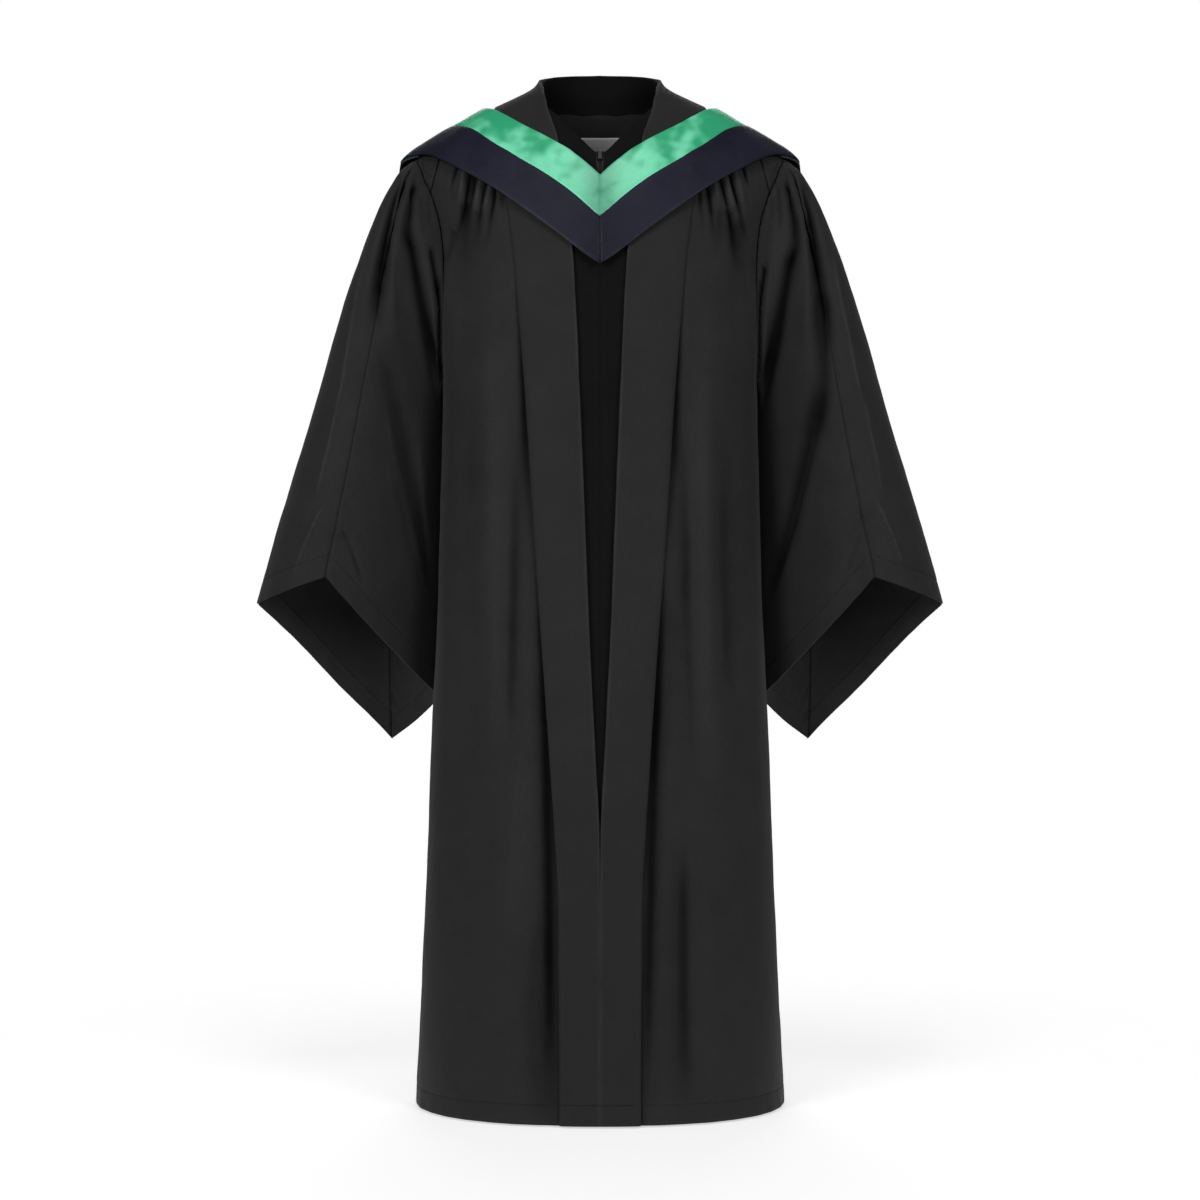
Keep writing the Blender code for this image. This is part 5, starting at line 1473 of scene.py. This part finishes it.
def many(name, centres, along, outward, profile, material):
    """One mesh of many small copies of a spindle, laid along the directions given at their centres."""
    across = np.cross(along, outward)
    turns = np.linspace(0, 2 * np.pi, SPINDLE_SIDES, endpoint=False)
    vertices, faces = [], []
    for centre, ahead, up, side in zip(centres, along, outward, across, strict=True):
        first = len(vertices)
        for place, half_width, half_height in profile:
            for turn in turns:
                offset = side * half_width * np.cos(turn) + up * half_height * np.sin(turn)
                vertices.append(centre + ahead * place + offset)
        faces += tube_faces(first, len(profile), SPINDLE_SIDES)
    return mesh_object(name, vertices, faces, material)


def line_beside(points, normals, edge, distance):
    """Points and normals on the cloth at this distance from one of its edges."""
    lengths = edge_distances(points)[edge]
    if edge.endswith("column"):
        points, normals, lengths = points.transpose(1, 0, 2), normals.transpose(1, 0, 2), lengths.T
    if edge.startswith("last"):
        points, normals, lengths = points[::-1], normals[::-1], lengths[::-1]
    line = []
    for j in range(points.shape[1]):
        values = np.concatenate([points[:, j], normals[:, j]], axis=1)
        line.append([np.interp(distance, lengths[:, j], values[:, k]) for k in range(6)])
    line = np.array(line)
    return line[:, :3], line[:, 3:]


def evenly(line, normals, pitch, inset):
    """Centres, directions and normals at even steps along a line, away from its two ends."""
    steps = np.linalg.norm(np.diff(line, axis=0), axis=1)
    length = np.concatenate([[0.0], np.cumsum(steps)])
    places = np.arange(inset, length[-1] - inset, pitch)
    centres = np.stack([np.interp(places, length, line[:, k]) for k in range(3)], axis=-1)
    ahead = np.stack([np.interp(places + pitch / 2, length, line[:, k]) for k in range(3)], axis=-1)
    up = np.stack([np.interp(places, length, normals[:, k]) for k in range(3)], axis=-1)
    along = ahead - centres
    along /= np.linalg.norm(along, axis=1, keepdims=True)
    up -= along * (up * along).sum(axis=1, keepdims=True)
    up /= np.linalg.norm(up, axis=1, keepdims=True)
    return centres, along, up


def sew(name, lines, wall, material):
    """Rows of stitches on the outside of the cloth, along these lines."""
    length, half_width, pitch = STITCH
    rows = [evenly(line, normals, pitch, 2 * pitch) for line, normals in lines]
    centres, along, up = [np.concatenate(parts) for parts in zip(*rows, strict=True)]
    centres = centres + up * wall / 2
    profile = spindle(length / 2, STITCH_SHOULDER * length, half_width, half_width, STITCH_TIP)
    obj = many(name, centres, along, up, profile, material)
    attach(obj, "root")


class Nodes:
    """A material's nodes, with short ways to add one and to link it."""

    def __init__(self, name):
        self.material = bpy.data.materials.new(name)
        self.material.use_nodes = True
        self.tree = self.material.node_tree
        self.shader = self.tree.nodes["Principled BSDF"]

    def give(self, socket, value):
        """Link a socket to another one, or set it to a plain value."""
        if isinstance(value, bpy.types.NodeSocket):
            self.tree.links.new(value, socket)
        else:
            socket.default_value = value

    def add(self, kind, inputs=None, **settings):
        node = self.tree.nodes.new(kind)
        for key, value in settings.items():
            setattr(node, key, value)
        for key, value in (inputs or {}).items():
            self.give(node.inputs[key], value)
        return node

    def set(self, **inputs):
        for key, value in inputs.items():
            self.give(self.shader.inputs[key.replace("_", " ")], value)

    def math(self, operation, first, second):
        return self.add("ShaderNodeMath", {0: first, 1: second}, operation=operation).outputs[0]

    def noise(self, place, size, detail=2.0):
        """Even noise from 0 to 1, with grains of this size in metres."""
        inputs = {"Vector": place, "Scale": 1 / size, "Detail": detail, "Roughness": 0.55}
        return self.add("ShaderNodeTexNoise", inputs).outputs["Fac"]

    def bump(self, height, depth, strength=1.0, normal=None):
        inputs = {"Height": height, "Distance": depth, "Strength": strength}
        if normal is not None:
            inputs["Normal"] = normal
        return self.add("ShaderNodeBump", inputs).outputs["Normal"]

    def between(self, low, high, share):
        """A value between two others."""
        return self.math("ADD", low, self.math("MULTIPLY", share, high - low))

    def shade(self, colour, factor):
        """A colour made lighter or darker by a factor."""
        node = self.add("ShaderNodeVectorMath", {0: colour, "Scale": factor}, operation="SCALE")
        return node.outputs[0]


def twill(name, colour, roughness=0.78, sheen=0.10, gloss=0.30, line_depth=0.00007):
    """Matt woven cloth with fine slanted lines, a little grain, soft random patches of tone, and the painted
    shade and light of its folds, which also dim its gloss and sheen.
    """
    nodes = Nodes(name)
    cloth = nodes.add("ShaderNodeTexCoord").outputs["UV"]
    place = nodes.add("ShaderNodeTexCoord").outputs["Object"]
    lines = nodes.add(
        "ShaderNodeTexWave",
        {"Vector": cloth, "Scale": TWILL_SCALE, "Distortion": 1.2, "Detail": 1.0, "Detail Scale": 2.0},
        bands_direction="DIAGONAL",
    ).outputs["Fac"]
    grain = nodes.noise(place, 0.0011)
    slubs = nodes.noise(place, 0.0040, 3.0)
    patches = nodes.noise(place, 0.045, 3.0)
    light = nodes.math("ADD", nodes.between(0.50, 1.50, grain), nodes.between(-0.30, 0.30, slubs))
    light = nodes.math("MULTIPLY", light, nodes.between(0.70, 1.30, patches))
    light = nodes.math("MULTIPLY", light, nodes.between(0.85, 1.10, lines))
    # Painted shade in the folds and painted highlight on creases, read from the cloth's point attribute
    painted_factor = nodes.add("ShaderNodeAttribute", attribute_name="painted_shade_and_light").outputs["Fac"]
    nodes.set(Base_Color=nodes.shade(colour, nodes.math("MULTIPLY", light, painted_factor)))
    nodes.set(Roughness=nodes.between(roughness - 0.07, roughness + 0.07, slubs))
    nodes.set(Specular_IOR_Level=nodes.math("MULTIPLY", painted_factor, gloss))
    nodes.set(Sheen_Weight=nodes.math("MULTIPLY", painted_factor, sheen), Sheen_Roughness=0.45)
    nodes.set(Sheen_Tint=(0.78, 0.78, 0.82, 1.0))
    soft = nodes.bump(nodes.noise(place, 0.012, 3.0), 0.0005, 0.5)
    rough = nodes.bump(grain, 0.00016, 0.6, soft)
    nodes.set(Normal=nodes.bump(lines, line_depth, 0.8, rough))
    return nodes.material


def satin(name, colours, roughness, streak, gloss, sheen, anisotropic=0.35):
    """Smooth shining cloth with a very fine weave and soft creases; its colour mixes towards a painted
    highlight in clouds that grow stronger lower down, under the painted shade and light of its folds.
    """
    nodes = Nodes(name)
    cloth = nodes.add("ShaderNodeTexCoord").outputs["UV"]
    place = nodes.add("ShaderNodeTexCoord").outputs["Object"]
    clouds = nodes.noise(place, 0.042, 2.0)
    creases = nodes.noise(place, 0.011, 3.0)
    stretched = nodes.add("ShaderNodeMapping", {"Vector": cloth, "Scale": (900.0, 60.0, 1.0)})
    threads = nodes.noise(stretched.outputs[0], 1.0, 2.0)
    height = nodes.add("ShaderNodeSeparateXYZ", {"Vector": place}).outputs["Z"]
    # Painted highlight: where the clouds and the height say the satin catches the light, its colour mixes
    # towards the bright one
    cloudy = nodes.between(-0.5, 1.5, clouds)
    caught = nodes.math("ADD", cloudy, nodes.math("MULTIPLY", height, SATIN_BY_HEIGHT))
    begins, full = SATIN_SHINE
    shine = nodes.add(
        "ShaderNodeMapRange",
        {"Value": caught, "From Min": begins, "From Max": full},
        interpolation_type="SMOOTHSTEP",
    ).outputs[0]
    dull, bright = [(*colour, 1.0) for colour in colours]
    mixed = nodes.add("ShaderNodeMix", {0: shine, 6: dull, 7: bright}, data_type="RGBA").outputs[2]
    # Painted shade and light of the folds and edges, read from the cloth's point attribute
    painted_factor = nodes.add("ShaderNodeAttribute", attribute_name="painted_shade_and_light").outputs["Fac"]
    light = nodes.math("MULTIPLY", nodes.between(0.90, 1.10, threads), painted_factor)
    nodes.set(Base_Color=nodes.shade(mixed, light))
    nodes.set(Roughness=nodes.between(roughness - 0.06, roughness + 0.08, creases))
    nodes.set(Sheen_Weight=sheen, Sheen_Roughness=0.35, Specular_IOR_Level=gloss)
    nodes.set(Sheen_Tint=(*streak, 1.0))
    nodes.set(Anisotropic=anisotropic)
    tangent = nodes.add("ShaderNodeTangent", direction_type="UV_MAP", uv_map="cloth")
    nodes.set(Tangent=tangent.outputs[0])
    soft = nodes.bump(creases, 0.0012, 0.35)
    broad = nodes.bump(clouds, 0.0030, 0.30, soft)
    nodes.set(Normal=nodes.bump(threads, 0.00005, 0.5, broad))
    return nodes.material


def woven_tape(name, colour, roughness):
    """Close plain weave of a label or a tape."""
    nodes = Nodes(name)
    cloth = nodes.add("ShaderNodeTexCoord").outputs["UV"]
    waves = {"Vector": cloth, "Scale": TAPE_SCALE}
    warp, weft = [
        nodes.add("ShaderNodeTexWave", waves, bands_direction=direction).outputs["Fac"]
        for direction in ("X", "Y")
    ]
    weave = nodes.math("MULTIPLY", warp, weft)
    clouds = nodes.noise(nodes.add("ShaderNodeTexCoord").outputs["Object"], 0.018, 3.0)
    light = nodes.math("MULTIPLY", nodes.between(0.85, 1.08, weave), nodes.between(0.88, 1.12, clouds))
    nodes.set(Base_Color=nodes.shade(colour, light), Roughness=roughness, Specular_IOR_Level=0.35)
    nodes.set(Normal=nodes.bump(weave, 0.00008, 0.6, nodes.bump(clouds, 0.0010, 0.3)))
    return nodes.material


def thread(name, colour):
    nodes = Nodes(name)
    place = nodes.add("ShaderNodeTexCoord").outputs["Object"]
    twist = nodes.noise(place, 0.0006)
    nodes.set(Base_Color=nodes.shade(colour, nodes.between(0.75, 1.25, twist)), Roughness=0.55)
    nodes.set(Normal=nodes.bump(twist, 0.0001, 0.5), Specular_IOR_Level=0.1)
    return nodes.material


def enamel(name, colour):
    nodes = Nodes(name)
    place = nodes.add("ShaderNodeTexCoord").outputs["Object"]
    rubbed = nodes.noise(place, 0.0012, 3.0)
    nodes.set(Base_Color=nodes.shade(colour, nodes.between(0.8, 1.6, rubbed)))
    nodes.set(Roughness=nodes.between(0.28, 0.48, rubbed), Metallic=0.6)
    nodes.set(Normal=nodes.bump(rubbed, 0.00004, 0.5))
    return nodes.material


def make_materials():
    return {
        "gown": twill("gown_twill", BLACK_CLOTH),
        "bands": twill("band_twill", BAND_BLACK, roughness=0.74, sheen=0.12),
        "inner_front": twill("inner_front_twill", INNER_BLACK, roughness=0.86, sheen=0.01, gloss=0.12),
        "hood_trim": satin("green_satin", GREEN_SATIN, 0.34, (0.70, 1.00, 0.85), 0.45, 0.15),
        "hood_band": satin("navy_satin", NAVY_SATIN, 0.46, (0.55, 0.60, 1.00), 0.20, 0.04),
        "lining_roll": satin(
            "teal_lining", TEAL_LINING, 0.30, (0.60, 0.90, 0.85), 0.60, 0.05, anisotropic=0.0
        ),
        "label": woven_tape("label_weave", LABEL_GREY, 0.70),
        "zip_tape": woven_tape("zip_tape_weave", ZIP_BLACK, 0.65),
        "thread": thread("black_thread", THREAD_BLACK),
        "coil": enamel("zip_coil", ZIP_BLACK),
        "slider": enamel("slider_enamel", ZIP_BLACK),
    }


def make_gown(materials):
    """Each sewn piece of the gown. Returns the lines to stitch, by group."""
    gown, bands, inner = materials["gown"], materials["bands"], materials["inner_front"]
    lines = {"hem": [], "band": [], "cuff": []}

    def sewing(group, points, axis, edge, distance, faces=(1,)):
        line, normals = line_beside(points, outward_normals(points, axis), edge, distance)
        lines[group] += [(line, face * normals) for face in faces]

    for side in (1, -1):
        suffix = "_" + side_name(side)
        panel, shade = front_panel_points(side)
        panel = dress(panel, axis_of_body, PANEL_ROLLS, PANEL_PUCKERS, 0.0007, 11.0 * side)
        lay_cloth("front_panel" + suffix, panel, GOWN_WALL, gown, painted_shade_and_light(panel, axis_of_body) * shade)
        sewing("hem", panel, axis_of_body, "first_row", BODY_HEM)
        yoke = dress(front_yoke_points(side), axis_of_body, YOKE_ROLLS, swell=0.0004, seed=5.0 * side)
        lay_cloth("front_yoke" + suffix, yoke, GOWN_WALL, gown)
        band = front_band_points(side)
        band = dress(band, axis_of_body, BAND_ROLLS, swell=0.0004, seed=3.0 * side)
        front = fold_profile(BAND_COLUMNS_ACROSS, FOLD_COLUMNS_ROUND, FACING_COLUMNS)[-1]
        lay_cloth("front_band" + suffix, band, COLLAR_WALL, bands, faced(band, front))
        sewing("band", band, axis_of_body, "first_row", BAND_HEM)
        inner_front = dress(zip_panel_points(side), axis_of_body, INNER_ROLLS, swell=0.0003, seed=2.0 * side)
        lay_cloth("zip_panel" + suffix, inner_front, GOWN_WALL, inner)
        halves, shades = zip(*sleeve_points(side), strict=True)
        halves = [
            dress(half, axis_of_sleeve, SLEEVE_ROLLS, SLEEVE_PUCKERS, 0.0008, 9.0 * side)
            for half in halves
        ]
        tones = painted_shade_and_light_round(halves[1], halves[0])[::-1]
        names = ("sleeve_inner", "sleeve_outer")
        for name, half, tone, shade in zip(names, halves, tones, shades, strict=True):
            lay_cloth(name + suffix, half, GOWN_WALL, gown, tone * shade)
            sewing("cuff", half, axis_of_sleeve, "last_row", CUFF_HEM, (1, -1))
    back, shade = back_panel_points()
    back = dress(back, axis_of_body, BACK_ROLLS, PANEL_PUCKERS[1:], 0.0007, 21.0)
    lay_cloth("back_panel", back, GOWN_WALL, gown, painted_shade_and_light(back, axis_of_body) * shade)
    sewing("hem", back, axis_of_body, "first_row", BODY_HEM)
    yoke = dress(both_sides(back_yoke_points()), axis_of_body, BACK_YOKE_ROLLS, swell=0.0004, seed=17.0)
    lay_cloth("back_yoke", yoke, GOWN_WALL, gown)
    collar = collar_points()
    front = fold_profile(BAND_COLUMNS_ACROSS, FOLD_COLUMNS_ROUND, BAND_COLUMNS_ACROSS)[-1]
    lay_cloth("collar", collar, COLLAR_WALL, bands, faced(collar, front[:, None]))
    lay_cloth("zip_tape", zip_tape_points(), LABEL_WALL, materials["zip_tape"])
    lay_cloth("label", label_points(), LABEL_WALL, materials["label"])
    return lines


def lining_roll(material):
    """The lining, rolled under the hood's outer edge where it runs over each shoulder."""
    first, last, count = ROLL_STATIONS
    station = np.linspace(first, last, count)
    edge = hood_strip("join", "outer", station, [1.0])[:, 0]
    inside = hood_strip("join", "outer", station, [ROLL_INWARD])[:, 0]
    down = np.array([0.0, 0.0, -1.0])
    across = inside - edge
    across /= np.linalg.norm(across, axis=1, keepdims=True)
    centre = edge + down * ROLL_DROP + across * ROLL_IN
    swell = np.sin(np.pi * (station - first) / (last - first)) ** 0.5
    turns = np.linspace(0, 2 * np.pi, ROLL_SIDES, endpoint=False)
    radius = ROLL_RADIUS * np.maximum(swell, ROLL_LEAST)[:, None]
    rings = [centre + radius * (across * np.cos(turn) + down * np.sin(turn)) for turn in turns]
    rings = np.stack(rings, axis=1)
    for side in (1, -1):
        name = "hood_lining_roll_" + side_name(side)
        roll = lofted(name, mirrored(rings, side)[:, ::side], material)
        # The roll has no painted shade or light: its factor is 1 everywhere
        painted_values = roll.data.attributes.new("painted_shade_and_light", "FLOAT", "POINT").data
        painted_values.foreach_set("value", np.ones(len(painted_values)))
        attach(roll, "root")


def make_hood(materials):
    trim, band, back = hood_points()
    for side in (1, -1):
        suffix = "_" + side_name(side)
        piece = dress(mirrored(trim, side), axis_of_body, HOOD_ROLLS, HOOD_PUCKERS, 0.0008, 4.0 * side)
        tone = painted_shade_and_light(piece, axis_of_body) * edge_shade(piece, "first_row", *TRIM_MITRE_SHADE)
        lay_cloth("hood_trim" + suffix, piece, HOOD_WALL, materials["hood_trim"], tone)
        piece = dress(mirrored(band, side), axis_of_body, HOOD_ROLLS, HOOD_PUCKERS, 0.0010, 6.0 * side)
        tone = painted_shade_and_light(piece, axis_of_body) * edge_shade(piece, "last_column", *HOOD_EDGE_SHADE)
        tone *= edge_shade(piece, "first_row", *BAND_MITRE_SHADE)
        lay_cloth("hood_band" + suffix, piece, HOOD_WALL, materials["hood_band"], tone)
    lining_roll(materials["lining_roll"])
    piece = dress(back, axis_of_body, COWL_ROLLS, swell=0.0012, seed=8.0)
    lay_cloth("hood_back", piece, HOOD_WALL, materials["hood_band"])


def make_zip(materials):
    """The closed coil on its tape, and the slider at its top."""
    height = np.arange(TAPE_TOP, TAPE_LOW, -TOOTH_PITCH)
    lift = -zip_sink(0.0, height) - TAPE_DROP + LABEL_WALL / 2 + TOOTH_SIZE[2] / 2
    centres = on_form(np.zeros_like(height), height, lift)
    above = on_form(np.zeros_like(height), height, lift + 0.001)
    outward = (above - centres) / np.linalg.norm(above - centres, axis=1, keepdims=True)
    along = np.broadcast_to(np.array([1.0, 0.0, 0.0]), centres.shape)
    half_length, half_width, half_height = TOOTH_SIZE
    profile = spindle(half_length, TOOTH_SHOULDER * half_length, half_width, half_height, TOOTH_TIP)
    coil = many("zip_coil", centres, along, outward, profile, materials["coil"])
    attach(coil, "root")
    for obj in bpy.data.objects:
        if obj.name == "zip_slider" and obj.get("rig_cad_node"):
            obj.data.materials.clear()
            obj.data.materials.append(materials["slider"])


def area_light(name, place, target, size, power):
    light = bpy.data.lights.new(name, "AREA")
    light.shape = "DISK"
    light.size = size
    light.energy = power
    obj = bpy.data.objects.new(name, light)
    obj.location = place
    obj.rotation_euler = (Vector(target) - Vector(place)).to_track_quat("-Z", "Y").to_euler()
    bpy.context.scene.collection.objects.link(obj)


def make_floor():
    """A pale patch of floor under the gown, which fades into the white around it."""
    nodes = Nodes("pale_floor")
    place = nodes.add("ShaderNodeTexCoord").outputs["Object"]
    tone = nodes.between(0.985, 1.015, nodes.noise(place, 0.35, 3.0))
    nodes.set(Base_Color=nodes.shade((0.80, 0.80, 0.80), tone), Roughness=0.9, Specular_IOR_Level=0.1)
    nodes.set(Emission_Color=(1.0, 1.0, 1.0, 1.0), Emission_Strength=FLOOR_GLOW)
    away = nodes.add("ShaderNodeVectorMath", {0: place}, operation="LENGTH").outputs["Value"]
    near, far = FLOOR_FADE
    fade = nodes.add("ShaderNodeMapRange", {"Value": away, 1: near, 2: far, 3: 1.0, 4: 0.0})
    nodes.set(Alpha=fade.outputs[0])
    corners = [(-far, -far, 0.0), (far, -far, 0.0), (far, far, 0.0), (-far, far, 0.0)]
    floor = mesh_object("floor", corners, [(0, 1, 2, 3)], nodes.material)
    floor.location.z = FLOOR_HEIGHT


def make_world():
    """White behind the object, and a dimmer even light on it."""
    world = bpy.data.worlds.new("studio")
    bpy.context.scene.world = world
    world.use_nodes = True
    tree = world.node_tree
    seen = tree.nodes.new("ShaderNodeLightPath").outputs["Is Camera Ray"]
    strength = tree.nodes.new("ShaderNodeMapRange")
    tree.links.new(seen, strength.inputs["Value"])
    strength.inputs["To Min"].default_value = AMBIENT
    strength.inputs["To Max"].default_value = BACKGROUND
    background = tree.nodes["Background"]
    background.inputs["Color"].default_value = (1.0, 1.0, 1.0, 1.0)
    tree.links.new(strength.outputs[0], background.inputs["Strength"])


def make_studio():
    bpy.context.scene.view_settings.view_transform = "Standard"
    make_world()
    make_floor()
    for name, place, size, power in LIGHTS:
        area_light(name, place, LIGHT_TARGET, size, power)
    lens = bpy.data.cameras.new("camera")
    lens.lens = CAMERA_LENS
    lens.sensor_width = CAMERA_SENSOR
    camera = bpy.data.objects.new("camera", lens)
    camera.location = CAMERA_PLACE
    camera.rotation_euler = (np.pi / 2, 0.0, 0.0)
    bpy.context.scene.collection.objects.link(camera)
    bpy.context.scene.camera = camera


def main():
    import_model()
    materials = make_materials()
    lines = make_gown(materials)
    walls = {"hem": GOWN_WALL, "band": BAND_WALL, "cuff": GOWN_WALL}
    for group, rows in lines.items():
        sew(group + "_stitches", rows, walls[group], materials["thread"])
    make_hood(materials)
    make_zip(materials)
    make_studio()


main()
